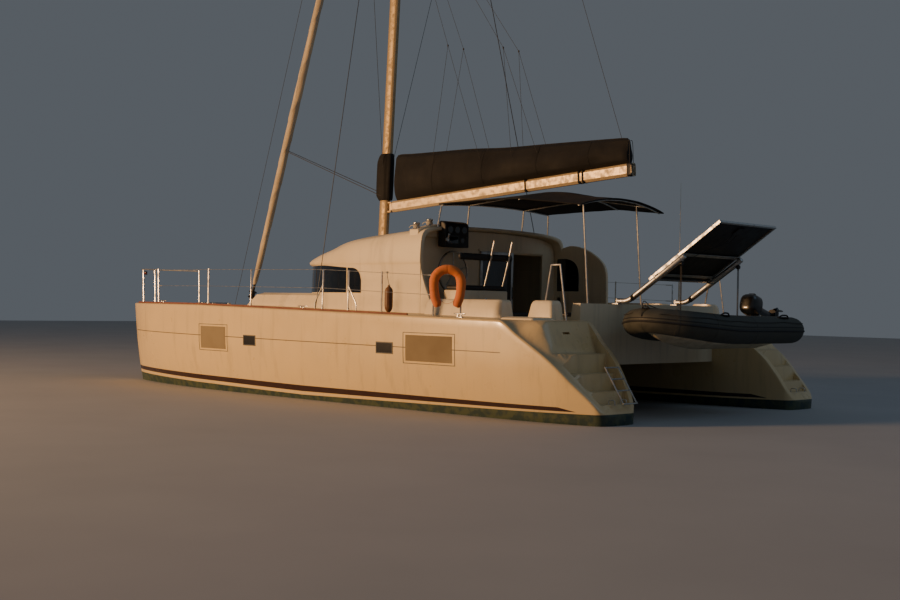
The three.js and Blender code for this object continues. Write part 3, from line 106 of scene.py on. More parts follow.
class Value:
    """One node output that can be used in sums."""

    def __init__(self, finish, socket):
        self.finish = finish
        self.socket = socket

    def maths(self, operation, *terms):
        return self.finish.node("Math", {"operation": operation}, terms)

    def __add__(self, other):
        return self.maths("ADD", self, other)

    def __sub__(self, other):
        return self.maths("SUBTRACT", self, other)

    def __rsub__(self, other):
        return self.maths("SUBTRACT", other, self)

    def __mul__(self, other):
        return self.maths("MULTIPLY", self, other)

    def __truediv__(self, other):
        return self.maths("DIVIDE", self, other)

    def __neg__(self):
        return self.maths("MULTIPLY", self, -1)

    def __abs__(self):
        return self.maths("ABSOLUTE", self)

    __radd__ = __add__
    __rmul__ = __mul__

    def sine(self):
        return self.maths("SINE", self)

    def at_least(self, other):
        return self.maths("MAXIMUM", self, other)

    def at_most(self, other):
        return self.maths("MINIMUM", self, other)

    def repeat(self, length):
        return self.maths("PINGPONG", self, length)

    def step(self, edge, soft):
        """0 below the edge and 1 above it, with a soft crossing."""
        ranges = [self, edge - soft, edge + soft] if isinstance(edge, (int, float)) else None
        if ranges is None:
            return ((self - edge) / (2 * soft) + 0.5).at_least(0).at_most(1)
        return self.finish.node("MapRange", {"interpolation_type": "SMOOTHSTEP"}, ranges)


# %% [markdown]
# A `Finish` is one material. Its `node` method makes any node: settings come first, because some of them
# change which sockets a node has, and then the values or links. Colours are typed as the six-digit codes
# that a paint chart would give, and turned into the linear numbers that light sums need.

# %% The Finish class


def paint(code):
    """A colour chart's code as linear red, green, blue and alpha."""
    parts = [int(code[i : i + 2], 16) / 255 for i in (0, 2, 4)]
    return tuple(c / 12.92 if c <= 0.04045 else ((c + 0.055) / 1.055) ** 2.4 for c in parts) + (1.0,)


class Finish:
    """One material: a Principled shader and the nodes that feed it."""

    def __init__(self, name, **shader_values):
        self.material = bpy.data.materials.new(name)
        self.material.use_nodes = True
        self.tree = self.material.node_tree
        self.shader = self.tree.nodes["Principled BSDF"]
        self.place = self.node("TexCoord", output="Object")
        self.x, self.y, self.z = (self.node("SeparateXYZ", None, [self.place], axis) for axis in "XYZ")
        facing = self.node("TexCoord", output="Normal")
        self.up = self.node("SeparateXYZ", None, [facing], "Z")
        self.set(**shader_values)

    def node(self, kind, settings=None, inputs=(), output=0):
        made = self.tree.nodes.new("ShaderNode" + kind)
        for key, value in (settings or {}).items():
            if key == "stops":
                self.fill_ramp(made.color_ramp, value)
            else:
                setattr(made, key, value)
        for key, value in inputs.items() if isinstance(inputs, dict) else enumerate(inputs):
            self.feed(made.inputs[key], value)
        return Value(self, made.outputs[output])

    def fill_ramp(self, ramp, stops):
        for spare in list(ramp.elements)[1:]:
            ramp.elements.remove(spare)
        for i, (position, colour) in enumerate(stops):
            element = ramp.elements[0] if i == 0 else ramp.elements.new(position)
            element.position = position
            element.color = colour

    def feed(self, socket, value):
        if isinstance(value, Value):
            self.tree.links.new(value.socket, socket)
        else:
            socket.default_value = value

    def set(self, **values):
        for key, value in values.items():
            self.feed(self.shader.inputs[key.replace("_", " ")], value)
        return self

    def stretched(self, x=1.0, y=1.0, z=1.0):
        """The place, with each axis scaled, for grain that runs one way."""
        return self.node("VectorMath", {"operation": "MULTIPLY"}, [self.place, (x, y, z)])

    def noise(self, scale, detail=3.0, roughness=0.55, place=None):
        inputs = {"Vector": place or self.place, "Scale": scale, "Detail": detail, "Roughness": roughness}
        return self.node("TexNoise", None, inputs)

    def cells(self, scale, place=None, feature="F1"):
        return self.node("TexVoronoi", {"feature": feature}, {"Vector": place or self.place, "Scale": scale})

    def mix(self, factor, first, second):
        """A colour between two colours."""
        inputs = {"Factor": factor, 6: first, 7: second}
        return self.node("Mix", {"data_type": "RGBA"}, inputs, 2)

    def bump(self, height, depth, strength=1.0):
        """Dents and grain: height is 0 to 1, depth in metres."""
        inputs = {"Height": height, "Distance": depth, "Strength": strength}
        self.set(Normal=self.node("Bump", None, inputs))
        return self

    def blotches(self, low=0.35, high=0.65, scale=3.0, place=None):
        """Noise spread out to the whole range from 0 to 1."""
        grey = self.noise(scale, place=place)
        return self.node("MapRange", None, [grey, low, high])


# %% [markdown]
# ## Gelcoat
#
# The hulls are laminate with a coloured skin of gelcoat: cream, hard and glossy when new. Years in the
# sun leave it chalky, with faint yellow blotches, rain streaks that run down from the deck and a scum
# line just above the water. A dark stripe runs along the waterline with a white one under it, and below
# that comes antifouling paint. One finish holds all of it, because the bands follow the height above the
# water and not the shape of the pieces.

# %% Gelcoat finishes
CREAM = paint("E2D3B4")
# the hull's cream is the deck's gelcoat made warmer and yellower: painted low sunlight on the upright sides
SUNLIT_HULL_CREAM = paint("D8BF8C")
CREAM_OLD = paint("CAB68F")
GRIME = paint("7E7462")
STRIPE_RED = paint("2E1714")
ANTIFOULING = paint("15302F")
SLIME = paint("3B4730")
LINE_GREY = paint("4B443E")


def weather(finish, base, aged, amount=1.0):
    """Cream that has yellowed in patches, with thin streaks where rain ran down."""
    patches = finish.blotches(0.35, 0.75, 1.3)
    streaks = finish.noise(1.0, 4, 0.6, finish.stretched(9, 9, 0.7)).step(0.62, 0.12)
    specks = finish.noise(70, 2).step(0.68, 0.05)
    colour = finish.mix(patches * 0.45 * amount, base, aged)
    colour = finish.mix(streaks * 0.22 * amount, colour, GRIME)
    return finish.mix(specks * 0.18 * amount, colour, GRIME)


def nonskid(finish, mask):
    """Height of the moulded grip pattern on decks and treads."""
    dots = finish.cells(140).step(0.35, 0.12)
    return (1 - dots) * mask


def hull_finish():
    finish = Finish("hull_gelcoat", Coat_Weight=0.35, Coat_Roughness=0.12)
    x, z = finish.x, finish.z
    ahead = x.at_least(0)
    astern = (-x).at_least(0)
    colour = weather(finish, SUNLIT_HULL_CREAM, CREAM_OLD)

    scum = (1 - z.step(0.42, 0.2)) * finish.blotches(0.3, 0.7, 6)
    colour = finish.mix(scum * 0.35, colour, CREAM_OLD)
    tread = finish.up.step(0.7, 0.1) * z.step(0.2, 0.02)
    colour = finish.mix(tread * 0.25, colour, GRIME)

    line_height = 0.935 + ahead * 0.006 - astern * 0.004
    line = (1 - abs(z - line_height).step(0.006, 0.002)) * x.step(-4.25, 0.01) * abs(finish.y).step(2.7, 0.02)
    colour = finish.mix(line, colour, LINE_GREY)

    stripe_top = 0.225 + ahead * 0.0105
    stripe_foot = 0.13 + ahead * 0.014 + astern * 0.008
    white_foot = 0.075 + ahead * 0.014 + astern * 0.0136
    slant = (x + (0.22 - z) * 5).step(-5.15, 0.01)
    red = z.step(stripe_foot, 0.002) * (1 - z.step(stripe_top, 0.002)) * slant
    colour = finish.mix(red, colour, STRIPE_RED)
    wet = finish.mix(finish.blotches(0.4, 0.6, 9), ANTIFOULING, SLIME)
    under = 1 - z.step(white_foot, 0.003)
    colour = finish.mix(under, colour, wet)

    chalk = finish.blotches(0.3, 0.7, 3)
    grain = finish.noise(240, 2) * 0.15 + nonskid(finish, tread)
    finish.set(Base_Color=colour, Roughness=0.26 + chalk * 0.16 + under * 0.35 + tread * 0.3)
    return finish.bump(grain, 0.0012, 0.6)


def deck_finish():
    finish = Finish("deck_gelcoat", Coat_Weight=0.2, Coat_Roughness=0.2)
    flat = finish.up.step(0.8, 0.08)
    colour = weather(finish, CREAM, CREAM_OLD, 0.9)
    worn = finish.blotches(0.4, 0.62, 2.2) * flat
    colour = finish.mix(worn * 0.3, colour, GRIME)
    finish.set(Base_Color=colour, Roughness=0.34 + flat * 0.25)
    return finish.bump(nonskid(finish, flat) + finish.noise(240, 2) * 0.1, 0.001, 0.5)


HULL = hull_finish()
DECK = deck_finish()
print("gelcoat:", HULL.material.name, DECK.material.name)

# %% [markdown]
# ## Paint below the water
#
# Antifouling is soft, matt and blotchy, and it wears thin on leading edges. The leg of the drive has the
# same film over grey castings, and the propellers are bronze gone brown.

# %% Underwater finishes


def underwater_finish(name, base, film):
    finish = Finish(name)
    growth = finish.blotches(0.4, 0.6, 14)
    brushed = finish.noise(30, 3, 0.6, finish.stretched(0.3, 1, 1))
    finish.set(Base_Color=finish.mix(growth * 0.7, base, film), Roughness=0.65 + brushed * 0.25)
    return finish.bump(brushed + growth * 0.4, 0.002, 0.6)


KEEL_PAINT = underwater_finish("keel_paint", ANTIFOULING, SLIME)
DRIVE_PAINT = underwater_finish("drive_paint", paint("4C5355"), SLIME)


def bronze_finish():
    finish = Finish("bronze", Metallic=0.9)
    tarnish = finish.blotches(0.35, 0.6, 25)
    colour = finish.mix(tarnish, paint("9A7440"), paint("4A4030"))
    finish.set(Base_Color=colour, Roughness=0.35 + tarnish * 0.35)
    return finish.bump(finish.noise(90), 0.0005, 0.5)


BRONZE = bronze_finish()
print("below the water:", KEEL_PAINT.material.name, DRIVE_PAINT.material.name, BRONZE.material.name)

# %% [markdown]
# ## Metal on deck
#
# Rails and wires are stainless steel: bright, but with a skin of salt and fine scratches along the tube.
# The mast and boom are aluminium with a warm champagne coat that has dulled to chalk in streaks; the mast's
# copy of it is darker, as painted shade. Cast and machined parts of the winches are chromed bronze.

# %% Metal finishes


def metal_finish(name, bright, dull, rough=0.22, metallic=1.0, streak=(1, 1, 0.1)):
    finish = Finish(name)
    salt = finish.blotches(0.45, 0.7, 12)
    scratches = finish.noise(160, 2, 0.6, finish.stretched(*streak))
    colour = finish.mix(salt * 0.6, bright, dull)
    uneven = rough + salt * 0.2 + scratches * 0.12
    finish.set(Base_Color=colour, Metallic=metallic - salt * 0.25, Roughness=uneven)
    return finish.bump(scratches, 0.0003, 0.4)


STAINLESS = metal_finish("stainless", paint("D3D3D0"), paint("8C857A"))
CHROME = metal_finish("chromed_bronze", paint("CFCFCC"), paint("7C756A"), 0.14)
ALUMINIUM = metal_finish("bare_aluminium", paint("C3C4C3"), paint("8F8E8A"), 0.35)
SPAR = metal_finish("champagne_spar", paint("DCC8A6"), paint("B7A382"), 0.4, 0.45, (1, 1, 0.05))
# the mast's coat is the boom's champagne made darker: painted shade on the same coated aluminium
SHADED_MAST_COAT = metal_finish("champagne_mast_painted_shade", paint("B09A75"), paint("8F7C5E"), 0.45, 0.45, (1, 1, 0.05))
RIG_WIRE = metal_finish("rig_wire", paint("55575A"), paint("3A3A3A"), 0.4)
print("metals:", [metal.material.name for metal in (STAINLESS, CHROME, ALUMINIUM, SPAR, SHADED_MAST_COAT, RIG_WIRE)])

# %% [markdown]
# ## Cloth
#
# Sun canopy and sail cover are woven acrylic, near black with a little blue, dusty on top. The weave is a
# grid of fine ribs, made here from two sine waves at right angles. Sailcloth is tighter and lighter. The
# net between the bows is polyester webbing, and ropes show a braid of crossing strands.

# %% Cloth finishes


def weave(finish, pitch):
    """Height of a plain weave, its threads a pitch apart along all three axes."""
    turn = 2 * math.pi / pitch
    ribs = (finish.x * turn).sine() + (finish.y * turn).sine() + (finish.z * turn).sine()
    return ribs / 6 + 0.5


def cloth_finish(name, base, faded, dust, pitch=0.004, sheen=0.3):
    finish = Finish(name, Sheen_Weight=sheen, Sheen_Roughness=0.5)
    fade = finish.blotches(0.35, 0.7, 1.6)
    lint = finish.noise(8, 5, 0.7) * finish.up.step(0.2, 0.5)
    colour = finish.mix(fade * 0.8, base, faded)
    colour = finish.mix(lint * 0.12, colour, dust)
    finish.set(Base_Color=colour, Roughness=0.78 + fade * 0.15)
    return finish.bump(weave(finish, pitch) + finish.noise(18, 3) * 0.8, 0.0012, 0.6)


CANVAS = cloth_finish("acrylic_canvas", paint("030407"), paint("07080D"), paint("22211F"), sheen=0.0)
SAILCLOTH = cloth_finish("rolled_sailcloth", paint("CDBB9C"), paint("A89A85"), paint("8A8070"), 0.003, 0.1)
WEBBING = cloth_finish("net_webbing", paint("CFCBC0"), paint("A9A597"), paint("7A7566"), 0.003, 0.1)
BUOY_CLOTH = cloth_finish("buoy_cloth", paint("D07440"), paint("D97C35"), paint("9A6A45"), 0.003, 0.05)
COVER_MESH = cloth_finish("window_cover_mesh", paint("83755A"), paint("75674F"), paint("5F5644"), 0.006, 0.0)


def rope_finish(name, base, fleck):
    finish = Finish(name)
    strands = ((finish.x + finish.y + finish.z * 2) * 420).sine() * 0.5 + 0.5
    marks = finish.cells(160).step(0.55, 0.1)
    finish.set(Base_Color=finish.mix(marks * 0.6, base, fleck), Roughness=0.85)
    return finish.bump(strands, 0.001, 0.7)


ROPE = rope_finish("braided_rope", paint("C9C2B0"), paint("5A5F6C"))
ROPE_DARK = rope_finish("dark_rope", paint("2A2A2C"), paint("55524B"))
print("finishes so far:", len(bpy.data.materials))

# %% [markdown]
# ## Wood, plastic, glass and rubber
#
# The strip on the deck edge is reddish wood gone dry. Saloon windows are tinted acrylic that looks black
# from outside. The dinghy's tubes are coated fabric, the same olive grey as its patches, and its ends are
# black.

# %% Other finishes


def wood_finish():
    finish = Finish("toe_rail_wood")
    grain = finish.noise(14, 5, 0.65, finish.stretched(0.35, 5, 5))
    ramp = {"stops": [(0.3, paint("4A281B")), (0.55, paint("7A4630")), (0.75, paint("93705A"))]}
    finish.set(Base_Color=finish.node("ValToRGB", ramp, [grain]), Roughness=0.62 + grain * 0.2)
    return finish.bump(grain, 0.0015, 0.7)


def plain_finish(name, base, worn, rough, grain=220, spots=8.0, **values):
    """Moulded plastic, vinyl, rubber or paint: worn patches and a fine grain over one colour."""
    finish = Finish(name, **values)
    patches = finish.blotches(0.4, 0.7, spots)
    fine = finish.noise(grain, 2)
    finish.set(Base_Color=finish.mix(patches * 0.5, base, worn), Roughness=rough + patches * 0.15)
    return finish.bump(fine, 0.0006, 0.5)


WOOD = wood_finish()
TINTED = plain_finish("tinted_acrylic", paint("0B0D10"), paint("1B1D20"), 0.06, Coat_Weight=0.6)
DARK_GLASS = plain_finish("hatch_glass", paint("15181B"), paint("2B2D2F"), 0.1, Coat_Weight=0.5)
BLACK_PLASTIC = plain_finish("black_plastic", paint("131314"), paint("2A2A29"), 0.5)
GREY_PLASTIC = plain_finish("grey_plastic", paint("4A4D4F"), paint("6A6B68"), 0.5)
WHITE_PLASTIC = plain_finish("white_plastic", paint("D8D2C2"), paint("B3A88F"), 0.4)
VINYL = plain_finish("dark_vinyl", paint("121317"), paint("24252A"), 0.45, 420)
FENDER_VINYL = plain_finish("fender_vinyl", paint("5E3A20"), paint("8A6643"), 0.5)
DINGHY_FABRIC = plain_finish("dinghy_fabric", paint("393B36"), paint("4E4F47"), 0.62, 600, 5)
DINGHY_BLACK = plain_finish("dinghy_black", paint("151619"), paint("2C2D2F"), 0.6, 600, 5)
DINGHY_SHELL = plain_finish("dinghy_shell", paint("CFC3A4"), paint("9A8B6B"), 0.35)
MOTOR_PAINT = plain_finish("outboard_paint", paint("121315"), paint("25272A"), 0.28, 300, 9, Coat_Weight=0.5)
RED_LAMP = plain_finish("port_lamp", paint("5A0D0A"), paint("7C1B14"), 0.15, Coat_Weight=0.6)
GREEN_LAMP = plain_finish("starboard_lamp", paint("0A3A1C"), paint("155A30"), 0.15, Coat_Weight=0.6)


def solar_finish():
    """Blue-black cells 0.158 m across with pale lines between them and fine fingers over each."""
    finish = Finish("solar_cells", Coat_Weight=0.8, Coat_Roughness=0.04)
    along = (finish.x + finish.z) * 0.86
    edge_x = along.repeat(0.079).step(0.0775, 0.0006)
    edge_y = finish.y.repeat(0.079).step(0.0775, 0.0006)
    bars = finish.y.repeat(0.026).step(0.0252, 0.0004)
    tint = finish.mix(finish.blotches(0.3, 0.7, 20), paint("0B0F1C"), paint("141A2E"))
    colour = finish.mix(edge_x.at_least(edge_y), tint, paint("8E9296"))
    finish.set(Base_Color=finish.mix(bars * 0.6, colour, paint("8E9296")), Roughness=0.18)
    return finish


SOLAR = solar_finish()
print("finishes:", len(bpy.data.materials))

# %% [markdown]
# ## Dressing what the frame already shapes well
#
# The frame's own pieces arrive as loose triangles. A small geometry-node group welds them, shades them
# smooth and keeps edges sharp where two faces meet at more than 35 degrees. It is a modifier, so the
# frame's mesh itself stays as it was.

# %% Weld and shade
CREASE = math.radians(35)


def welded_group():
    group = bpy.data.node_groups.new("weld_and_shade", "GeometryNodeTree")
    group.interface.new_socket("Geometry", in_out="INPUT", socket_type="NodeSocketGeometry")
    group.interface.new_socket("Geometry", in_out="OUTPUT", socket_type="NodeSocketGeometry")
    start = group.nodes.new("NodeGroupInput")
    weld = group.nodes.new("GeometryNodeMergeByDistance")
    weld.inputs["Distance"].default_value = 1e-5
    bare = group.nodes.new("GeometryNodeRemoveAttribute")
    bare.inputs["Name"].default_value = "custom_normal"
    soft = group.nodes.new("GeometryNodeSetShadeSmooth")
    angle = group.nodes.new("GeometryNodeInputMeshEdgeAngle")
    wide = group.nodes.new("FunctionNodeCompare")
    wide.inputs["B"].default_value = CREASE
    sharp = group.nodes.new("GeometryNodeSetShadeSmooth")
    sharp.domain = "EDGE"
    sharp.inputs["Shade Smooth"].default_value = False
    end = group.nodes.new("NodeGroupOutput")
    links = group.links
    links.new(start.outputs[0], weld.inputs["Geometry"])
    links.new(weld.outputs[0], bare.inputs["Geometry"])
    links.new(bare.outputs[0], soft.inputs["Geometry"])
    links.new(soft.outputs[0], sharp.inputs["Geometry"])
    links.new(angle.outputs[0], wide.inputs["A"])
    links.new(wide.outputs[0], sharp.inputs["Selection"])
    links.new(sharp.outputs[0], end.inputs[0])
    return group


WELD = welded_group()
print("weld and shade:", len(WELD.nodes), "nodes")


def dress(name, finish):
    """Gives a frame node its finish and smooth shading."""
    node = nodes[name]
    for slot in node.material_slots:
        slot.material = finish.material
    shade = node.modifiers.new("weld_and_shade", "NODES")
    shade.node_group = WELD


# %% [markdown]
# Now each frame piece gets its finish by name. What comes in pairs is named once, without its side. A piece
# that is modelled anew below hides its frame piece, so a finish here counts only where the frame shows.

# %% Finishes of the frame's pieces
SIDES = (("port", 1), ("starboard", -1))
NODE_FINISHES = {
    "hull_port": HULL,
    "hull_starboard": HULL,
    "bridgedeck": DECK,
    "coachroof": DECK,
    "saloon_glazing": TINTED,
    "aft_bulkhead": DECK,
    "saloon_door": TINTED,
    "helm_seat": VINYL,
    "helm_pod": GREY_PLASTIC,
    "winches": CHROME,
    "steering_wheel": STAINLESS,
    "mast": SHADED_MAST_COAT,
    "boom": SPAR,
    "crossbeam": SPAR,
    "cover_collar": CANVAS,
    "sail_bag": CANVAS,
    "furled_headsail": SAILCLOTH,
    "bimini_frame": STAINLESS,
    "bimini_canopy": CANVAS,
    "solar_panel": SOLAR,
    "lifebuoy_frame": STAINLESS,
    "lifebuoy": BUOY_CLOTH,
    "fender": FENDER_VINYL,
    "dinghy_tubes": DINGHY_FABRIC,
    "dinghy_hull": DINGHY_SHELL,
    "outboard": MOTOR_PAINT,
    "outboard_propeller": MOTOR_PAINT,
    "boarding_ladder": STAINLESS,
}
SIDED_FINISHES = {
    "toe_rail": WOOD,
    "keel": KEEL_PAINT,
    "saildrive": DRIVE_PAINT,
    "propeller": BRONZE,
    "rudder": KEEL_PAINT,
    "deck_hatch": DARK_GLASS,
    "engine_lid": DECK,
    "pulpit": STAINLESS,
    "stern_rail": STAINLESS,
    "shroud": RIG_WIRE,
    "trampoline": WEBBING,
    "davit": ALUMINIUM,
}
for name, finish in NODE_FINISHES.items():
    dress(name, finish)
for side, _ in SIDES:
    for name, finish in SIDED_FINISHES.items():
        dress(f"{name}_{side}", finish)
    for number in (1, 2):
        dress(f"stanchion_{side}_{number}", STAINLESS)
print("dressed:", sum(1 for node in nodes.values() if node.modifiers))

# %% [markdown]
# ## Shapes from points
#
# Most pieces here are one of three moves: rings joined into a skin, a round tube led along a path, or a
# box with soft edges. A `Shape` gathers the points and faces of such moves, and `make` turns it into one
# object that rides on a body of the frame. Points that fall together are merged, so rings may meet in a
# point.

# %% The Shape class


def round_turns(count):
    """The angles of one full round, in equal steps."""
    return [2 * math.pi * k / count for k in range(count)]


def along(path):
    """Each point of a path with the way ahead and two directions across, which turn as little as they can."""
    path = [Vector(point) for point in path]
    across = None
    places = []
    for i, point in enumerate(path):
        ahead = (path[min(i + 1, len(path) - 1)] - path[max(i - 1, 0)]).normalized()
        if across is None:
            helper = Vector((0, 0, 1)) if abs(ahead.z) < 0.9 else Vector((0, 1, 0))
            across = helper.cross(ahead)
        across = (across - ahead * across.dot(ahead)).normalized()
        places.append((point, ahead, across, ahead.cross(across)))
    return places


class Shape:
    """Points and faces, gathered move by move."""

    def __init__(self):
        self.points = []
        self.faces = []

    def add(self, points, faces):
        base = len(self.points)
        self.points.extend(Vector(point) for point in points)
        self.faces.extend(tuple(base + i for i in face) for face in faces)
        return self

    def loft(self, rings, closed=True, caps=True):
        """Rings of equal count, joined one to the next."""
        count = len(rings[0])
        faces = []
        for i in range(len(rings) - 1):
            for j in range(count if closed else count - 1):
                k = (j + 1) % count
                faces.append((i * count + j, i * count + k, (i + 1) * count + k, (i + 1) * count + j))
        if closed and caps:
            last = (len(rings) - 1) * count
            faces.append(tuple(reversed(range(count))))
            faces.append(tuple(last + j for j in range(count)))
        return self.add([point for ring in rings for point in ring], faces)

    def tube(self, path, radius, sides=10, flat=1.0):
        """A round tube along a path; radius may be a list, and flat squeezes it one way."""
        radii = radius if isinstance(radius, (list, tuple)) else [radius] * len(path)
        rings = []
        for (point, _, across, up), r in zip(along(path), radii):
            around = [(math.cos(t) * r, math.sin(t) * r * flat) for t in round_turns(sides)]
            rings.append([point + across * u + up * v for u, v in around])
        return self.loft(rings)

    def block(self, low, high, soft=0.0):
        """A box whose edges along Z and at the top are rounded off."""
        rings = []
        top = high[2]
        for height, inset in ((low[2], 0.0), (top - soft, 0.0), (top - soft * 0.3, soft * 0.3), (top, soft)):
            rings.append(rounded_rectangle(low, high, inset, soft, height))
        return self.loft(rings if soft else [rings[0], rings[-1]])

    def lathe(self, foot, profile, sides=24, axis=(0, 0, 1)):
        """Rings about an axis; the profile gives height and radius."""
        axis = Vector(axis).normalized()
        helper = Vector((1, 0, 0)) if abs(axis.x) < 0.9 else Vector((0, 1, 0))
        u = axis.cross(helper).normalized()
        v = axis.cross(u)
        rings = []
        for height, r in profile:
            centre = Vector(foot) + axis * height
            rings.append([centre + u * (math.cos(t) * r) + v * (math.sin(t) * r) for t in round_turns(sides)])
        return self.loft(rings)


def rounded_rectangle(low, high, inset, radius, height, steps=4):
    """A level ring with rounded corners, pulled in by an inset."""
    x0, x1 = low[0] + inset, high[0] - inset
    y0, y1 = low[1] + inset, high[1] - inset
    if not radius:
        return [(x0, y0, height), (x1, y0, height), (x1, y1, height), (x0, y1, height)]
    ring = []
    right, left, front, back = x1 - radius, x0 + radius, y0 + radius, y1 - radius
    for cx, cy, start in ((right, front, -90), (right, back, 0), (left, back, 90), (left, front, 180)):
        for k in range(steps + 1):
            turn = math.radians(start + 90 * k / steps)
            ring.append((cx + radius * math.cos(turn), cy + radius * math.sin(turn), height))
    return ring


def make(name, shape, body, finish, replaces=(), crease=35):
    """One object from a shape: merged, faces turned out, shaded smooth with creases kept."""
    mesh = bpy.data.meshes.new(name)
    mesh.from_pydata(shape.points, [], shape.faces)
    work = bmesh.new()
    work.from_mesh(mesh)
    bmesh.ops.remove_doubles(work, verts=work.verts, dist=1e-5)
    bmesh.ops.dissolve_degenerate(work, edges=work.edges, dist=1e-6)
    bmesh.ops.recalc_face_normals(work, faces=work.faces)
    work.to_mesh(mesh)
    work.free()
    mesh.shade_smooth()
    mesh.set_sharp_from_angle(angle=math.radians(crease))
    piece = bpy.data.objects.new(name, mesh)
    bpy.context.scene.collection.objects.link(piece)
    mesh.materials.append(finish.material)
    if body:
        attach(piece, body)
    if replaces:
        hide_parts(*replaces)
    return piece


# %% [markdown]
# Two more helpers. `smooth_row` reads a table between its rows with cubic curves that never swing past
# the rows, so a hull stays fair. `bend` rounds the corners of a path the way a tube bender would.

# %% Curve helpers


def straight_row(table, key):
    """The other columns of a table at a key, along straight lines between rows."""
    table = sorted(table)
    key = max(table[0][0], min(table[-1][0], key))
    for before, after in zip(table, table[1:]):
        if key <= after[0]:
            t = (key - before[0]) / (after[0] - before[0])
            return [b + (a - b) * t for b, a in zip(before[1:], after[1:])]


def smooth_row(table, key):
    """The other columns of a table at a key, along fair cubic curves through the rows."""
    table = sorted(table)
    key = max(table[0][0], min(table[-1][0], key))
    i = max(j for j in range(len(table) - 1) if table[j][0] <= key or j == 0)
    width = table[i + 1][0] - table[i][0]
    t = (key - table[i][0]) / width
    values = []
    for column in range(1, len(table[0])):
        slopes = []
        for j in (i, i + 1):
            ways = [
                (table[k + 1][column] - table[k][column]) / (table[k + 1][0] - table[k][0])
                for k in (j - 1, j)
                if 0 <= k < len(table) - 1
            ]
            if len(ways) == 1:
                slopes.append(ways[0])
            elif ways[0] * ways[1] <= 0:
                slopes.append(0.0)
            else:
                slopes.append(2 * ways[0] * ways[1] / (ways[0] + ways[1]))
        a, b = table[i][column], table[i + 1][column]
        value = a * (2 * t**3 - 3 * t**2 + 1) + b * (3 * t**2 - 2 * t**3)
        value += width * (slopes[0] * (t**3 - 2 * t**2 + t) + slopes[1] * (t**3 - t**2))
        values.append(value)
    return values


def bend(points, radius, steps=5):
    """A path whose corners are rounded."""
    points = [Vector(point) for point in points]
    path = [points[0]]
    for before, corner, after in zip(points, points[1:], points[2:]):
        reach = min(radius, (before - corner).length * 0.45, (after - corner).length * 0.45)
        start = corner + (before - corner).normalized() * reach
        end = corner + (after - corner).normalized() * reach
        for k in range(steps + 1):
            t = k / steps
            path.append(start * (1 - t) ** 2 + corner * (2 * t * (1 - t)) + end * t**2)
    return path + [points[-1]]


def curve(points, steps=6):
    """A smooth path through points."""
    points = [Vector(point) for point in points]
    padded = [2 * points[0] - points[1]] + points + [2 * points[-1] - points[-2]]
    path = []
    for a, b, c, d in zip(padded, padded[1:], padded[2:], padded[3:]):
        for k in range(steps):
            t = k / steps
            square, cube = 2 * a - 5 * b + 4 * c - d, 3 * b - a - 3 * c + d
            path.append(0.5 * (2 * b + (c - a) * t + square * t**2 + cube * t**3))
    return path + [points[-1]]


def spaced(low, high, count):
    """Numbers from low to high in equal steps, both ends included."""
    return [low + (high - low) * i / (count - 1) for i in range(count)]


# a ring of cord stops just short of a full turn, so that its two ends meet without merging
RING_END = 6.28

# %% [markdown]
# ## Hulls
#
# Each hull is a slim displacement shape: nearly upright topsides, a round bilge and a straight inner side
# that carries the bridgedeck. At the stern the deck breaks into a scoop with steps down to a bathing
# platform. The outer edge of the scoop sweeps down earlier than the inner one, so its surface twists and
# cuts across the treads. The skin is built as rings along the hull, and each ring runs up the outer side,
# across the top and down the inner side. The height of the top comes from one function of place, with
# rings set close together at each riser, so treads and their rounded noses need no cutting.

# %% Hull lines
HULL_Y = 2.45
# x, outer half-breadth, inner half-breadth, half-breadth at the water, depth of body, rake of the section
STATIONS = [
    (-5.76, 0.465, 0.385, 0.370, 0.055, 0.0),
    (-5.1, 0.650, 0.575, 0.520, 0.230, 0.0),
    (-4.6, 0.715, 0.700, 0.585, 0.330, 0.0),
    (-4.2, 0.750, 0.700, 0.610, 0.400, 0.0),
    (-2.4, 0.800, 0.700, 0.640, 0.540, 0.0),
    (0.3, 0.815, 0.700, 0.650, 0.600, 0.0),
    (2.8, 0.800, 0.700, 0.590, 0.590, 0.0),
    (3.6, 0.735, 0.690, 0.500, 0.570, 0.010),
    (4.6, 0.570, 0.550, 0.330, 0.520, 0.040),
    (5.3, 0.350, 0.345, 0.165, 0.450, 0.090),
    (5.68, 0.165, 0.165, 0.065, 0.380, 0.190),
    (5.775, 0.062, 0.062, 0.022, 0.330, 0.240),
]
# share of the freeboard, share of the flare from the water to the deck
OUTER_FLARE = [(0.0, 0.0), (0.3, 0.62), (0.62, 0.94), (1.0, 1.0)]
INNER_FLARE = [(0.0, 0.0), (0.2, 0.45), (0.48, 1.0), (1.0, 1.0)]
# way round the bilge, share of the depth, share of the breadth
BILGE = [(0.0, 0.0, 1.0), (0.33, 0.45, 0.87), (0.66, 0.82, 0.58), (1.0, 1.0, 0.1)]
# x and height along the inner and the outer edge of the scoop
SCOOP_INNER = [(-3.9, 1.4), (-4.59, 1.4), (-5.04, 1.06), (-5.25, 0.9)]
SCOOP_INNER += [(-5.48, 0.62), (-5.66, 0.32), (-5.76, 0.12)]
SCOOP_OUTER = [(-3.9, 1.38), (-4.2, 1.37), (-4.51, 1.18), (-5.04, 0.83)]
SCOOP_OUTER += [(-5.4, 0.5), (-5.62, 0.29), (-5.76, 0.12)]
# tread height, x of its front and of its nose
TREADS = [(0.925, -4.97, -5.15), (0.67, -5.16, -5.345), (0.44, -5.355, -5.535), (0.275, -5.545, -5.9)]
BLOCK_TOP = (-4.73, 1.33)
# x, local distance outboard of the clean shoulder beside the steps
SHOULDER = [(-5.9, 0.27), (-5.76, 0.29), (-5.1, 0.5), (-4.6, 0.57), (-4.2, 0.57)]
# x, local distance outboard where the scoop begins to fall away
SCOOP_TURN = [(-5.9, -0.1), (-5.2, 0.05), (-4.6, 0.4), (-4.2, 0.45)]
GUNWALE = 0.035
BRIDGE_END = -4.505
SCOOP_START, SHEER_LENGTH, AFT_DECK, SHEER_RISE = -4.2, 7.0, 1.37, 0.11


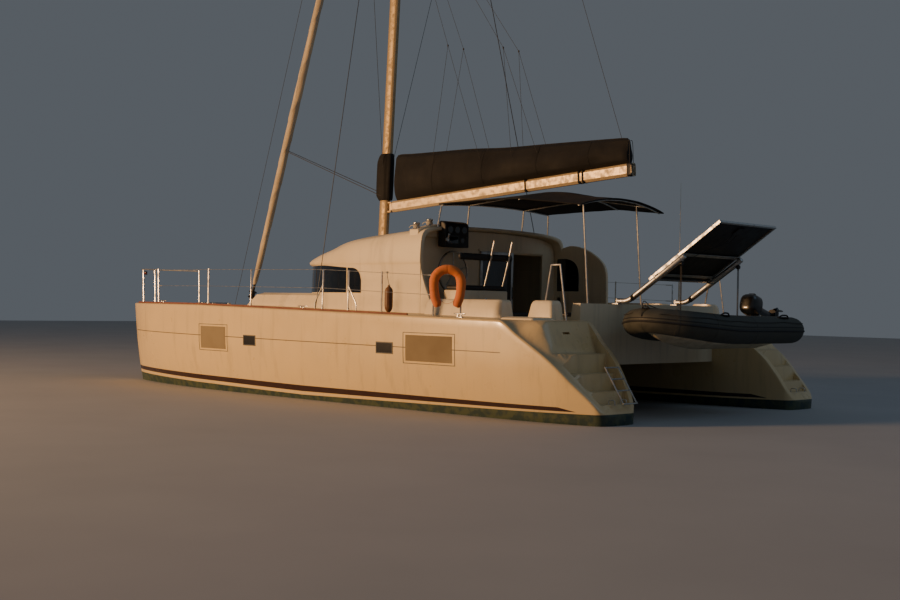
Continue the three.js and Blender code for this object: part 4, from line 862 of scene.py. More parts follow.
def deck_height(x):
    share = max(0.0, min(1.0, (x - SCOOP_START) / SHEER_LENGTH))
    return AFT_DECK + SHEER_RISE * share


def step_profile():
    """Rows of x and height down the steps, noses and inner corners rounded."""
    rows = [(-4.6, 1.6), (-4.705, 1.45), (-4.72, 1.37), BLOCK_TOP]
    for i, (height, front, nose) in enumerate(TREADS):
        rows += [(front + 0.015, height + 0.02), (front - 0.006, height + 0.003), (front - 0.02, height)]
        if i + 1 < len(TREADS):
            rows += [(nose + 0.02, height), (nose + 0.008, height - 0.003), (nose + 0.002, height - 0.009)]
            rows += [(nose - 0.001, height - 0.02)]
    rows.append((-5.9, TREADS[-1][0]))
    return rows


STEPS = step_profile()


def ease(t):
    t = max(0.0, min(1.0, t))
    return t * t * (3 - 2 * t)


def step_lines(x):
    """Local distances outboard of the two lines between which the steps lie: coaming and shoulder."""
    half_out, half_in = smooth_row(STATIONS, x)[:2]
    if x > SCOOP_START:
        return -0.85 * half_in, 0.76 * half_out
    return 0.1 - half_in, straight_row(SHOULDER, x)[0]


def top_height(x, across):
    """Height of the hull's top at x and at a local distance outboard of the hull's centreline."""
    deck = deck_height(x)
    inner = min(deck, smooth_row(SCOOP_INNER, x)[0])
    outer = min(inner, smooth_row(SCOOP_OUTER, x)[0])
    if x > SCOOP_START:
        return deck
    half_out = smooth_row(STATIONS, x)[0]
    turn = straight_row(SCOOP_TURN, x)[0]
    edge = half_out - 0.03
    surface = inner + (outer - inner) * ease((across - turn) / (edge - turn))
    coaming, shoulder = step_lines(x)
    cut = ease((across - coaming) / 0.02) * ease((shoulder - across) / 0.03)
    tread = min(surface, straight_row(STEPS, x)[0])
    return surface + (tread - surface) * cut


def side_breadth(x, height, outboard):
    """Half-breadth of the hull at a height above the water."""
    half_out, half_in, water, depth = smooth_row(STATIONS, x)[:4]
    half = half_out if outboard else min(half_in, 0.7)
    share = max(0.0, height / deck_height(x))
    return water + (half - water) * smooth_row(OUTER_FLARE if outboard else INNER_FLARE, share)[0]


def hull_ring(x, side, squeeze=1.0, nose=0.0):
    """One ring of the hull; squeeze narrows it towards an end, and nose moves it forward."""
    _, _, water, depth, rake = smooth_row(STATIONS, x)
    deck = deck_height(x)

    def place(across, height):
        share = 1 - height / deck if height >= 0 else 1 + (-height / depth) * 0.9
        return (x + nose - rake * share, side * (HULL_Y + across * squeeze), height)

    ring = []
    outer_top = top_height(x, 9.0) - GUNWALE
    for height in spaced(0.0, outer_top, 15):
        ring.append(place(side_breadth(x, height, True), height))
    edge_out = side_breadth(x, outer_top, True) - GUNWALE
    for angle in (22, 45, 67):
        a = math.radians(angle)
        ring.append(place(edge_out + GUNWALE * math.cos(a), outer_top + GUNWALE * math.sin(a)))
    inner_full = top_height(x, -9.0)
    soft = 0.02 if x < BRIDGE_END else 0.0001
    inner_top = inner_full - soft
    edge_in = -side_breadth(x, inner_top, False) + soft
    coaming, shoulder = step_lines(x)
    shoulder = min(shoulder, coaming + (edge_out - coaming) * 0.85)
    fine = min(1.0, (edge_out - coaming) / 0.5)
    rows = spaced(edge_out, shoulder + 0.012 * fine, 8)
    rows += [shoulder - c * fine for c in (0.0, 0.008, 0.015, 0.022, 0.03)]
    rows += spaced(shoulder - 0.05 * fine, coaming + 0.03 * fine, 10)
    rows += [coaming + c * fine for c in (0.02, 0.013, 0.007, 0.0, -0.015)] + [edge_in]
    for across in rows:
        ring.append(place(across, top_height(x, across)))
    if x < BRIDGE_END:
        for angle in (60, 30):
            a = math.radians(angle)
            ring.append(place(edge_in - soft * math.cos(a), inner_top + soft * math.sin(a)))
    else:
        ring += [place(edge_in - soft, inner_full)] * 2
    for height in spaced(inner_top, 0.0, 12):
        ring.append(place(-side_breadth(x, height, False), height))
    for way in spaced(0.1, 1.0, 8):
        sink, breadth = smooth_row(BILGE, way)
        ring.append(place(-water * breadth, -sink * depth))
    for way in spaced(1.0, 0.1, 8):
        sink, breadth = smooth_row(BILGE, way)
        ring.append(place(water * breadth, -sink * depth))
    return ring


def hull_places():
    """Where rings stand along the hull: even spacing, closer at the steps and at both ends."""
    places = set(spaced(-5.58, 5.69, 84))
    places |= {x for x, _ in STEPS if -5.6 < x < -4.6}
    places |= set(spaced(-4.7, -4.0, 14))
    ordered = sorted(places)
    kept = [ordered[0]]
    steps = {x for x, _ in STEPS}
    for x in ordered[1:]:
        if x - kept[-1] > 0.004 or x in steps:
            kept.append(x)
    return kept


def hull_skin(side):
    shape = Shape()
    rings = []
    for way in (0.985, 0.95, 0.88, 0.75, 0.55, 0.3, 0.1):
        rings.append(hull_ring(-5.62 - 0.14 * way, side, (1 - way**3) ** (1 / 3)))
    rings += [hull_ring(x, side) for x in hull_places()]
    for angle in (15, 30, 45, 60, 75, 86):
        a = math.radians(angle)
        rings.append(hull_ring(5.69, side, math.cos(a), 0.085 * math.sin(a)))
    shape.loft(rings)
    return shape


print("rings along a hull:", len(hull_places()))

# %% [markdown]
# A coaming block stands on each side deck, and lids lie over shallow recesses. The recesses and the hand
# slot at the head of the steps are cut with Blender's exact boolean, which suits clean boxes like these.

# %% Hulls
COAMING_INNER, COAMING_OUTER = 1.955, 2.25
# height, how far the ends lean in, corner radius; the first row lies under the deck
COAMING_RINGS = [(-0.05, 0.0, 0.03), (1.59, 0.04, 0.05), (1.63, 0.055, 0.06), (1.65, 0.08, 0.06)]
# x and y of the middle, reach along x and along y
LID_RECESSES = [(3.35, 2.48, 0.23, 0.23), (-4.2, 2.56, 0.28, 0.23)]
RECESS_DEPTH = 0.06
# aft and fore end of each coaming block
COAMING_BLOCKS = [(-3.44, -1.8), (-4.38, -3.9)]


def carve(piece, tools):
    """Cuts tool shapes out of a piece and keeps only the result."""
    work = bmesh.new()
    mesh = bpy.data.meshes.new("tool")
    mesh.from_pydata(tools.points, [], tools.faces)
    work.from_mesh(mesh)
    bmesh.ops.recalc_face_normals(work, faces=work.faces)
    work.to_mesh(mesh)
    work.free()
    tool = bpy.data.objects.new("tool", mesh)
    bpy.context.scene.collection.objects.link(tool)
    cut = piece.modifiers.new("cut", "BOOLEAN")
    cut.operation = "DIFFERENCE"
    cut.solver = "EXACT"
    cut.object = tool
    seen = bpy.context.evaluated_depsgraph_get()
    result = bpy.data.meshes.new_from_object(piece.evaluated_get(seen))
    piece.modifiers.remove(cut)
    result.name = piece.name
    piece.data = result
    bpy.data.objects.remove(tool)
    result.set_sharp_from_angle(angle=math.radians(30))


def slab(shape, x, y, reach_x, reach_y, low, high):
    """A box about a middle."""
    shape.block((x - reach_x, y - reach_y, low), (x + reach_x, y + reach_y, high))


def coaming(shape, side, aft, fore):
    inner, outer = side * COAMING_INNER, side * COAMING_OUTER
    low_y, high_y = min(inner, outer), max(inner, outer)
    rings = []
    for height, lean, soft in COAMING_RINGS:
        base = deck_height(aft) if height < 0 else 0.0
        outer_lean = lean if height > 0 else 0.0
        low = (aft + lean, low_y + (outer_lean if side < 0 else 0.0))
        high = (fore - lean, high_y - (outer_lean if side > 0 else 0.0))
        rings.append(rounded_rectangle(low, high, 0.0, soft, base + height))
    shape.loft(rings)


for side, sign in SIDES:
    hull = make(f"smooth_hull_{side}", hull_skin(sign), "boat", HULL, [f"hull_{side}"], 30)
    tools = Shape()
    for x, y, reach_x, reach_y in LID_RECESSES:
        slab(tools, x, sign * y, reach_x, reach_y, deck_height(x) - RECESS_DEPTH, 1.7)
    slab(tools, -4.795, sign * HULL_Y, 0.055, 0.075, 1.185, 1.215)
    carve(hull, tools)
    coamings = Shape()
    for aft, fore in COAMING_BLOCKS:
        coaming(coamings, sign, aft, fore)
    make(f"coaming_{side}", coamings, "boat", DECK, [f"hull_{side}"], 40)
    print(hull.name, len(hull.data.polygons), "faces")

# %% [markdown]
# ## Coachroof
#
# The coachroof is a moulded shell. In plan it is a superellipse, a shape between an ellipse and a box,
# drawn in a little at each level. Its upper levels rise towards the stern, and at the front it reaches
# out over the windows as a visor. The skin is a stack of such levels, outer side and inner side in one
# ring, so the shell has a real thickness where it ends over the cockpit.

# %% Coachroof lines
ROOF_AFT = -1.33
ROOF_POWER = 2.5
# level, height at the aft end, height at the front, reach forward, half-breadth
ROOF_LEVELS = [
    (0.0, 1.360, 1.360, 2.450, 1.830),
    (1.0, 1.730, 1.730, 2.450, 1.830),
    (2.0, 2.195, 2.195, 2.405, 1.840),
    (2.2, 2.210, 2.210, 2.440, 1.842),
    (2.5, 2.235, 2.235, 2.512, 1.848),
    (2.8, 2.270, 2.262, 2.522, 1.850),
    (3.1, 2.310, 2.290, 2.480, 1.850),
    (4.0, 2.500, 2.360, 2.200, 1.840),
    (5.0, 2.660, 2.440, 1.750, 1.812),
    (6.0, 2.760, 2.530, 1.450, 1.735),
    (7.0, 2.820, 2.620, 1.200, 1.490),
    (8.0, 2.850, 2.710, 1.000, 1.090),
    (9.0, 2.866, 2.765, 0.700, 0.500),
    (9.6, 2.870, 2.785, 0.300, 0.000),
]
ROOF_WALL = 0.07


def roof_point(level, turn, shrink=0.0, drop=0.0):
    """A point of the roof's skin: a level, and a turn in degrees from the bow, port positive."""
    aft_z, fore_z, front, half = smooth_row(ROOF_LEVELS, level)
    around = math.radians(max(-90.0, min(90.0, turn)))
    x = (front - shrink) * abs(math.cos(around)) ** (2 / ROOF_POWER)
    y = math.copysign((half - shrink) * abs(math.sin(around)) ** (2 / ROOF_POWER), around)
    if abs(turn) > 90:
        x = ROOF_AFT * (abs(turn) - 90) / 30
    z = aft_z + (fore_z - aft_z) * (x - ROOF_AFT) / (front - ROOF_AFT) - drop
    return Vector((x, y, z))


def roof_skin():
    straight = spaced(95, 120, 6)
    turns = [-turn for turn in reversed(straight)] + spaced(-90, 90, 61) + straight
    levels = spaced(0, 2, 9) + spaced(2.1, 3.1, 9) + spaced(3.3, 9.6, 30)
    rings = []
    for level in levels:
        drop = 0.05 * ease((level - 2) / 3)
        shrink = min(ROOF_WALL, smooth_row(ROOF_LEVELS, level)[3])
        inner_level = 2 + (level - 2) * 0.3 if 2 < level < 3.3 else level
        outer = [roof_point(level, turn) for turn in turns]
        inner = [roof_point(inner_level, turn, shrink, drop) for turn in turns]
        lips = []
        for end in (-1, 0):
            lips.append([outer[end].lerp(inner[end], share) - Vector((0.012, 0, 0)) for share in (0.3, 0.7)])
        rings.append(outer + lips[0] + inner[::-1] + lips[1][::-1])
    shape = Shape().loft(rings, caps=False)
    return shape.add(rings[0], [tuple(range(len(rings[0])))])


# %% [markdown]
# The windows are dark acrylic panes bonded to the outside of the wall, a few centimetres larger than the
# openings behind them, with thin gaps where the frame shows. The band's aft end has a rounded upper
# corner. Each pane is a strip that follows the wall, and the same strip, a little smaller and thicker, is
# the tool that cuts the opening.

# %% Windows
WINDOW_FOOT = 1.735
# turn in degrees from the bow where each pane starts and ends
PANES = [(89.25, 83.7), (82.9, 57.5), (56.6, 31.0), (30.0, 1.0)]
AFT_EDGE, AFT_CORNER = 0.08, 0.2
SAFE_TURN = 0.45
# how far the wall reaches forward and to each side, halfway up the windows
WALL_REACH = (2.43, 1.835)


def window_top(x):
    top = 2.15 + 0.055 * ease((x - 0.1) / 1.2)
    reach = AFT_EDGE + AFT_CORNER - x
    if reach > 0:
        top -= AFT_CORNER - math.sqrt(max(0.0, AFT_CORNER**2 - reach**2))
    return top


def wall_point(turn, height, out):
    """A point on the cabin side at a height, moved out from the wall by a distance."""
    low = roof_point(1.0, turn)
    high = roof_point(2.0, turn)
    point = low.lerp(high, (height - low.z) / (high.z - low.z))
    slopes = [abs(c / reach) ** (ROOF_POWER - 1) / reach for c, reach in zip(point, WALL_REACH)]
    outward = Vector((*slopes, 0)).normalized()
    outward.y = math.copysign(outward.y, turn)
    return point + outward * out


def pane_strip(shape, start, end, sign, out, inward, inset=0.0):
    """A strip of wall between two turns, thickened from a distance inward to a distance out."""
    trim = SAFE_TURN if inset else 0.0
    rings = []
    for turn in spaced(start - trim, end + trim, 14):
        high = window_top(wall_point(turn, 2.0, 0).x) - inset
        heights = spaced(WINDOW_FOOT + inset, high, 6)
        ring = [wall_point(sign * turn, height, out) for height in heights]
        ring += [wall_point(sign * turn, height, -inward) for height in reversed(heights)]
        rings.append(ring)
    shape.loft(rings)


roof = make("smooth_coachroof", roof_skin(), "boat", DECK, ["coachroof"], 40)
openings = Shape()
panes = Shape()
for start, end in PANES:
    for sign in (1, -1):
        pane_strip(openings, start, end, sign, 0.05, 0.14, 0.03)
        pane_strip(panes, start, end, sign, 0.009, 0.003)
carve(roof, openings)
make("window_panes", panes, "boat", TINTED, ["saloon_glazing"])
print("coachroof:", len(roof.data.polygons), "faces")

# %% [markdown]
# Side walls run aft past the roof. To starboard a full wing shelters the cockpit, with a dark arched
# window in it, and to port only a short curved one, so that the helm can see out. A wing is an outline
# given a thickness, with a bevel for its moulded edge.

# %% Cockpit wings
WING_ROOT, WING_HALF = -1.24, 0.03
# x and height along each free edge, from the roof down, and up round the arched window
STARBOARD_WING = [(-1.3, 2.6), (-1.56, 2.655), (-1.88, 2.585), (-2.19, 2.4)]
STARBOARD_WING += [(-2.32, 2.21), (-2.345, 1.9), (-2.35, 1.38)]
PORT_WING = [(-1.27, 2.5), (-1.325, 2.35), (-1.335, 2.2), (-1.36, 2.04)]
PORT_WING += [(-1.43, 1.86), (-1.53, 1.65), (-1.62, 1.38)]
ARCH = [(-1.74, 1.84), (-1.735, 2.12), (-1.7, 2.27), (-1.61, 2.37)]
ARCH += [(-1.47, 2.42), (-1.34, 2.425), (-1.26, 2.42)]


def wing_outline(edge):
    outline = [(point.x, point.z) for point in curve([(x, 0, z) for x, z in edge])]
    return outline + [(WING_ROOT, outline[-1][1]), (WING_ROOT, outline[0][1])]


def plate(outline, low, high):
    """An outline of (x, z) points given a thickness along Y."""
    return Shape().loft([[(x, y, z) for x, z in outline] for y in (low, high)])


def soften(piece, width, segments=3):
    """Rounds a piece's sharp edges with a bevel."""
    rounding = piece.modifiers.new("rounding", "BEVEL")
    rounding.width = width
    rounding.segments = segments
    rounding.limit_method = "ANGLE"
    rounding.angle_limit = CREASE
    return piece


for name, edge, y in (("starboard_wing", STARBOARD_WING, -1.79), ("port_wing", PORT_WING, 1.795)):
    board = plate(wing_outline(edge), y - WING_HALF, y + WING_HALF)
    soften(make(name, board, "boat", DECK, ["coachroof"]), 0.014)
wing_window = plate(wing_outline(ARCH), -1.825, -1.755)
soften(make("wing_window", wing_window, "boat", TINTED, ["saloon_glazing"]), 0.01)
print("wings and the arched window made")

# %% [markdown]
# ## Sail bag
#
# The mainsail lies flaked on the boom inside a zipped bag of dark acrylic. The bag is full at the mast
# and thin at the boom's end. Its sides hang in shallow folds, and its lower edges wrap the boom. The body
# is a loft through measured sections, with folds added by noise that is long up and down and short along
# the boom. The zip runs along the ridge.

# %% Sail bag
GOOSENECK = Vector((1.3, 0, 3.34))
BOOM_RISE = math.radians(4)
BOOM_HIGH = 0.1
# distance aft of the gooseneck, half-breadth, height above the boom
BAG = [
    (0.215, 0.085, 0.815),
    (0.30, 0.115, 0.828),
    (0.60, 0.165, 0.800),
    (1.30, 0.190, 0.745),
    (2.00, 0.195, 0.690),
    (2.90, 0.195, 0.590),
    (3.70, 0.185, 0.530),
    (5.00, 0.140, 0.425),
    (5.32, 0.095, 0.395),
    (5.385, 0.060, 0.380),
]
# share of the height, share of the half-breadth
BAG_SIDE = [
    (0.0, 0.42),
    (0.06, 0.72),
    (0.16, 0.95),
    (0.36, 1.02),
    (0.62, 0.84),
    (0.82, 0.56),
    (0.94, 0.36),
    (0.985, 0.16),
    (1.0, 0.03),
]


def on_boom(aft, y, up):
    """A place on the raised boom: the distance aft of the gooseneck and the height over the boom's axis."""
    back = -aft * math.cos(BOOM_RISE) + up * math.sin(BOOM_RISE)
    return GOOSENECK + Vector((back, y, aft * math.sin(BOOM_RISE) + up * math.cos(BOOM_RISE)))


def bag_fold(aft, share, seed):
    """How far the cloth swells or dips at a place on one side."""
    broad = noise.noise(Vector((aft * 2.4, share * 1.2, seed)))
    fine = noise.noise(Vector((aft * 8.0, share * 2.2, seed + 6)))
    return (broad * 0.04 + fine * 0.014) * math.sin(math.pi * min(1.0, share * 1.04))


def bag_ring(aft):
    half, high = smooth_row(BAG, aft)
    sides = []
    for seed, sign in ((3.0, 1), (21.0, -1)):
        side = []
        for share in spaced(0.0, 1.0, 24):
            breadth = smooth_row(BAG_SIDE, share)[0] * half + bag_fold(aft, share, seed)
            side.append(on_boom(aft, sign * breadth, BOOM_HIGH + share * high))
        sides.append(side)
    return sides[0] + sides[1][::-1]


bag = Shape()
bag.loft([bag_ring(aft) for aft in [0.215, 0.23, 0.26] + spaced(0.3, 5.3, 120) + [5.34, 5.37, 5.385]])
sail_bag = make("sail_cover_bag", bag, "boom", CANVAS, ["sail_bag"], 60)
ridge = [on_boom(aft, 0.0, BOOM_HIGH + 0.004 + smooth_row(BAG, aft)[1]) for aft in spaced(0.24, 5.36, 70)]
make("bag_zip", Shape().tube(ridge, 0.011, 6), "boom", BLACK_PLASTIC, ["sail_bag"])
print("bag:", len(sail_bag.data.polygons), "faces")

# %% [markdown]
# The mast end of the bag is a separate collar that laces round the mast. It is a loose tube with a belly
# ahead of the mast and long upright folds, drawn in at both ends.

# %% Mast collar
MAST_FOOT = Vector((1.48, 0, 2.83))
MAST_RAKE = math.tan(math.radians(2.6))
# height, how loosely the cloth stands off, how far it bellies forward
COLLAR = [
    (3.47, 0.018, 0.0),
    (3.50, 0.028, 0.02),
    (3.58, 0.032, 0.07),
    (3.80, 0.034, 0.078),
    (4.15, 0.034, 0.074),
    (4.28, 0.028, 0.03),
    (4.33, 0.012, 0.0),
]


def mast_x(z):
    return MAST_FOOT.x - (z - MAST_FOOT.z) * MAST_RAKE


collar = Shape()
rings = []
for height in spaced(3.47, 4.33, 44):
    loose, belly = smooth_row(COLLAR, height)
    ring = []
    for a in round_turns(56):
        fold = 0.006 * math.sin(7 * a + height * 2)
        fold += 0.009 * noise.noise(Vector((math.cos(a) * 2.5, math.sin(a) * 2.5, height * 1.4)))
        ahead = max(0.0, math.cos(a)) ** 0.6 * belly
        x = mast_x(height) + (0.118 + loose + fold) * math.cos(a) + ahead
        ring.append((x, (0.078 + loose + fold) * math.sin(a), height))
    rings.append(ring)
collar.loft(rings)
mast_collar = make("mast_collar", collar, "boat", CANVAS, ["cover_collar"], 60)
print("collar:", len(rings), "rings")

# %% [markdown]
# ## Headsail
#
# The headsail is rolled round its stay. The cloth goes round many times, so the roll shows a spiral step
# where the edge of the last turn lies, and it swells in the middle of the hoist. Each ring's radius
# follows the roll's table, plus a saw tooth that moves round as it climbs. A drum at the foot winds it.

# %% Headsail
STAY_FOOT = Vector((5.44, 0, 1.536))
STAY_HEAD = 14.5
# height, radius of the roll
ROLL = [
    (1.9, 0.036),
    (2.0, 0.050),
    (2.6, 0.064),
    (5.2, 0.082),
    (9.0, 0.064),
    (12.8, 0.038),
    (13.5, 0.020),
    (13.6, 0.013),
]
SPIRAL_PITCH = 0.85


def stay_point(z, head=STAY_HEAD):
    """A place on the headstay at a height."""
    share = (z - STAY_FOOT.z) / (head - STAY_FOOT.z)
    return STAY_FOOT.lerp(Vector((mast_x(head) + 0.1, 0, head)), share)


roll = Shape()
rings = []
for height in spaced(1.9, 13.6, 320):
    radius = smooth_row(ROLL, height)[0]
    ring = []
    for a in round_turns(28):
        saw = ((a / (2 * math.pi) - height / SPIRAL_PITCH) % 1.0) - 0.5
        crumple = noise.noise(Vector((math.cos(a) * 1.5, math.sin(a) * 1.5, height * 2.5))) * 0.09
        r = radius * (1 + 0.12 * saw + crumple)
        ring.append(stay_point(height) + Vector((r * math.cos(a), r * math.sin(a), 0)))
    rings.append(ring)
roll.loft(rings)
headsail = make("rolled_headsail", roll, "boat", SAILCLOTH, ["furled_headsail"], 60)

stay_way = (stay_point(3.0) - stay_point(1.6)).normalized()
# height along the stay, radius
DRUM = [
    (0.0, 0.02),
    (0.0, 0.080),
    (0.012, 0.082),
    (0.02, 0.055),
    (0.1, 0.052),
    (0.112, 0.082),
    (0.126, 0.080),
    (0.13, 0.03),
    (0.2, 0.026),
    (0.3, 0.024),
]
drum = Shape().lathe(stay_point(1.63), DRUM, 32, stay_way)
make("furling_drum", drum, "boat", BLACK_PLASTIC, ["furled_headsail"])
stay = Shape()
stay.tube([stay_point(z) for z in (1.536, 1.64)], 0.012, 12)
stay.tube([stay_point(z) for z in (13.55, 14.42)], 0.009, 12)
for height in (1.55, 13.85):
    stay.lathe(stay_point(height), [(0, 0.012), (0, 0.018), (0.06, 0.018), (0.08, 0.012)], 16, stay_way)
make("headstay", stay, "boat", STAINLESS, ["furled_headsail"])
print("headsail:", len(rings), "rings")

# %% [markdown]
# ## Sun canopy
#
# The canopy over the cockpit is one sheet of acrylic stretched over three tube bows. Between bows the
# cloth dips a little, and it is hemmed all round over a rope. It is one grid of points that follows the
# bows' curves, doubled to give the cloth its thickness.

# %% Canopy
# x, half-breadth, height at the edge, height at the crown
CANOPY = [(-1.3, 1.4, 3.19, 3.25), (-2.2, 1.38, 3.215, 3.35)]
CANOPY += [(-2.9, 1.32, 3.22, 3.4), (-3.96, 1.08, 3.1, 3.25)]
BOWS = (-1.33, -2.9, -3.9)
CLOTH_LOW, CLOTH_HIGH = 0.007, 0.0135


def canopy_point(x, share, lift=0.0):
    """A place on the canopy: share runs from -1 at the starboard edge to 1 at the port edge."""
    half, edge, crown = straight_row(CANOPY, x)
    sag = 0.016 * (1 - share**2) * ease(min(abs(x - bow) for bow in BOWS) / 0.5)
    ripple = 0.004 * noise.noise(Vector((x * 5, share * 3, 4)))
    return Vector((x, half * share, crown - (crown - edge) * share**2 - sag + ripple + lift))


def canopy_skin():
    shares = [-1.0] + spaced(-0.996, 0.996, 44) + [1.0]
    rings = []
    for x in spaced(CANOPY[-1][0], CANOPY[0][0], 56):
        top = [canopy_point(x, share, CLOTH_HIGH) for share in shares]
        bottom = [canopy_point(x, share, CLOTH_LOW) for share in reversed(shares)]
        rings.append(top + bottom)
    return Shape().loft(rings)


canopy = make("sun_canopy", canopy_skin(), "boat", CANVAS, ["bimini_canopy"], 50)
fore, aft = CANOPY[0][0], CANOPY[-1][0]
edge_path = [canopy_point(x, 1.0, 0.01) for x in spaced(fore, aft, 24)]
edge_path += [canopy_point(aft, share, 0.01) for share in spaced(0.95, -0.95, 24)]
edge_path += [canopy_point(x, -1.0, 0.01) for x in spaced(aft, fore, 24)]
edge_path += [canopy_point(fore, share, 0.01) for share in spaced(-0.95, 1.0, 24)]
hem = Shape().tube(edge_path, 0.011, 8)
canopy_hem = make("canopy_hem", hem, "boat", CANVAS, ["bimini_canopy"])
print("canopy:", len(canopy.data.polygons), "faces")

# %% [markdown]
# ## Davits and solar panel
#
# Two aluminium arms reach aft and up from the beam. A rope tackle hangs from the end of each and holds
# the dinghy by a lifting eye. A framed solar panel lies across the arms on two flat rails: glass over
# dark cells, a bright frame with mitred bars, and a junction box with its cables under the upper end.
# Everything on the panel is placed by the distance up its slope, the distance across and the height over
# its underside.

# %% Davits and panel
DAVIT_ROOT = Vector((-4.43, 0, 1.668))
DAVIT_FOOT = Vector((-4.625, 0, 1.665))
DAVIT_SLOPE = 0.684
DAVIT_HEAD, DAVIT_Y, DAVIT_RADIUS = -5.54, 0.77, 0.04
EYE_TOP = 1.26


def davit_point(x, y, drop=0.0):
    return Vector((x, y, DAVIT_FOOT.z + (DAVIT_FOOT.x - x) * DAVIT_SLOPE - drop))


for side, sign in SIDES:
    y = sign * DAVIT_Y
    arm = Shape()
    root = DAVIT_ROOT + Vector((0, y, 0))
    run = bend([root, davit_point(DAVIT_FOOT.x, y), davit_point(-5.592, y)], 0.08)
    run = [root + Vector((0.004, 0, 0))] + run + [davit_point(-5.598, y), davit_point(-5.601, y)]
    arm.tube(run, [0.03] + [DAVIT_RADIUS] * (len(run) - 3) + [0.034, 0.015], 20)
    arm.block((-4.492, y - 0.062, 1.6203), (-4.368, y + 0.062, 1.636), 0.006)
    arm.tube([(-4.44, y, 1.63), (-4.44, y, 1.70)], 0.036, 16)
    for bolt_x in (-4.478, -4.384):
        for bolt_y in (-0.048, 0.048):
            arm.lathe((bolt_x, y + bolt_y, 1.636), [(0, 0.008), (0.006, 0.008), (0.008, 0.004)], 6)
    make(f"davit_arm_{side}", arm, "boat", ALUMINIUM, [f"davit_{side}"], 40)
    head = davit_point(DAVIT_HEAD, y)
    blocks = Shape()
    for height, size in ((head.z - 0.075, 0.03), (EYE_TOP + 0.075, 0.028)):
        cheek = [(-0.024, 0.012), (-0.022, size), (-0.01, size + 0.002), (-0.01, size - 0.008)]
        cheek += [(-d, r) for d, r in reversed(cheek)]
        blocks.lathe((DAVIT_HEAD, y, height), cheek, 20, (1, 0, 0))
        blocks.tube([(DAVIT_HEAD, y, height - 0.052), (DAVIT_HEAD, y, height + 0.052)], 0.006, 8)
    make(f"tackle_blocks_{side}", blocks, "boat", BLACK_PLASTIC, [f"davit_{side}"])
    falls = Shape()
    for off in (-0.011, 0.0, 0.011):
        ends = [(DAVIT_HEAD + off, y, head.z - 0.08), (DAVIT_HEAD + off * 0.9, y, EYE_TOP + 0.08)]
        falls.tube(ends, 0.0035, 8)
    tail = [(DAVIT_HEAD + 0.03, y, head.z - 0.08)] + [davit_point(x, y, 0.055) for x in (-5.4, -4.9, -4.72)]
    falls.tube(bend(tail, 0.08), 0.0045, 8)
    for turn in range(4):
        wrap = [davit_point(-4.7 - 0.012 * turn + 0.004 * math.sin(a), y) for a in spaced(0, 6.2, 14)]
        ring = []
        for a, centre in zip(spaced(0, RING_END, 14), wrap):
            ring.append(centre + Vector((0, 0.046 * math.cos(a), 0.046 * math.sin(a))))
        falls.tube(ring, 0.0045, 6)
    make(f"davit_falls_{side}", falls, "boat", ROPE_DARK, [f"davit_{side}"])

PANEL_FOOT = Vector((-5.0, 0, 1.972))
PANEL_SLOPE = math.atan(0.698)
PANEL_LONG, PANEL_LOW_Y, PANEL_HIGH_Y, PANEL_THICK = 1.433, -0.77, 0.77, 0.038


def on_panel(up, y, over):
    """A place on the panel: metres up the slope, across, and over its underside."""
    c, s = math.cos(PANEL_SLOPE), math.sin(PANEL_SLOPE)
    return PANEL_FOOT + Vector((-up * c + over * s, y, up * s + over * c))


def panel_bar(shape, low, high):
    """A box in the panel's own directions, from one corner to the other."""
    rings = []
    for up, inset in ((low[0], 0.002), (low[0] + 0.002, 0), (high[0] - 0.002, 0), (high[0], 0.002)):
        y0, over0, y1, over1 = low[1] + inset, low[2] + inset, high[1] - inset, high[2] - inset
        corners = ((y0, over0), (y1, over0), (y1, over1), (y0, over1))
        rings.append([on_panel(up, y, over) for y, over in corners])
    shape.loft(rings)


frame_bars = Shape()
rim = 0.032
for low, high in (
    ((0, PANEL_LOW_Y, 0), (rim, PANEL_HIGH_Y, PANEL_THICK)),
    ((PANEL_LONG - rim, PANEL_LOW_Y, 0), (PANEL_LONG, PANEL_HIGH_Y, PANEL_THICK)),
    ((rim, PANEL_LOW_Y, 0), (PANEL_LONG - rim, PANEL_LOW_Y + rim, PANEL_THICK)),
    ((rim, PANEL_HIGH_Y - rim, 0), (PANEL_LONG - rim, PANEL_HIGH_Y, PANEL_THICK)),
):
    panel_bar(frame_bars, low, high)
arm_normal = Vector((math.sin(math.atan(DAVIT_SLOPE)), 0, math.cos(math.atan(DAVIT_SLOPE))))
for rail_x, rail_drop in ((-5.12, 0.003), (-5.54, 0.0075)):
    up = (PANEL_FOOT.x - rail_x) / math.cos(PANEL_SLOPE)
    panel_bar(frame_bars, (up - 0.03, -0.8, -rail_drop), (up + 0.03, 0.8, 0.004))
    for y in (-DAVIT_Y, DAVIT_Y):
        under = []
        for a in spaced(-3.14, 0, 12):
            under.append(Vector((0, 0.045 * math.cos(a), 0)) + arm_normal * (0.045 * math.sin(a)))
        bolt = [under[0] + arm_normal * 0.07] + under + [under[-1] + arm_normal * 0.07]
        frame_bars.tube([davit_point(rail_x, y) + place for place in bolt], 0.004, 8)
make("panel_frame", frame_bars, "boat", ALUMINIUM, ["solar_panel"], 30)
cells = Shape()
lap = rim * 0.6
panel_bar(cells, (lap, PANEL_LOW_Y + lap, 0.026), (PANEL_LONG - lap, PANEL_HIGH_Y - lap, 0.036))
make("panel_cells", cells, "boat", SOLAR, ["solar_panel"])
back = Shape()
panel_bar(back, (0.02, PANEL_LOW_Y + 0.02, 0.02), (PANEL_LONG - 0.02, PANEL_HIGH_Y - 0.02, 0.0255))
panel_bar(back, (PANEL_LONG - 0.24, -0.02, 0.0), (PANEL_LONG - 0.1, 0.13, 0.021))
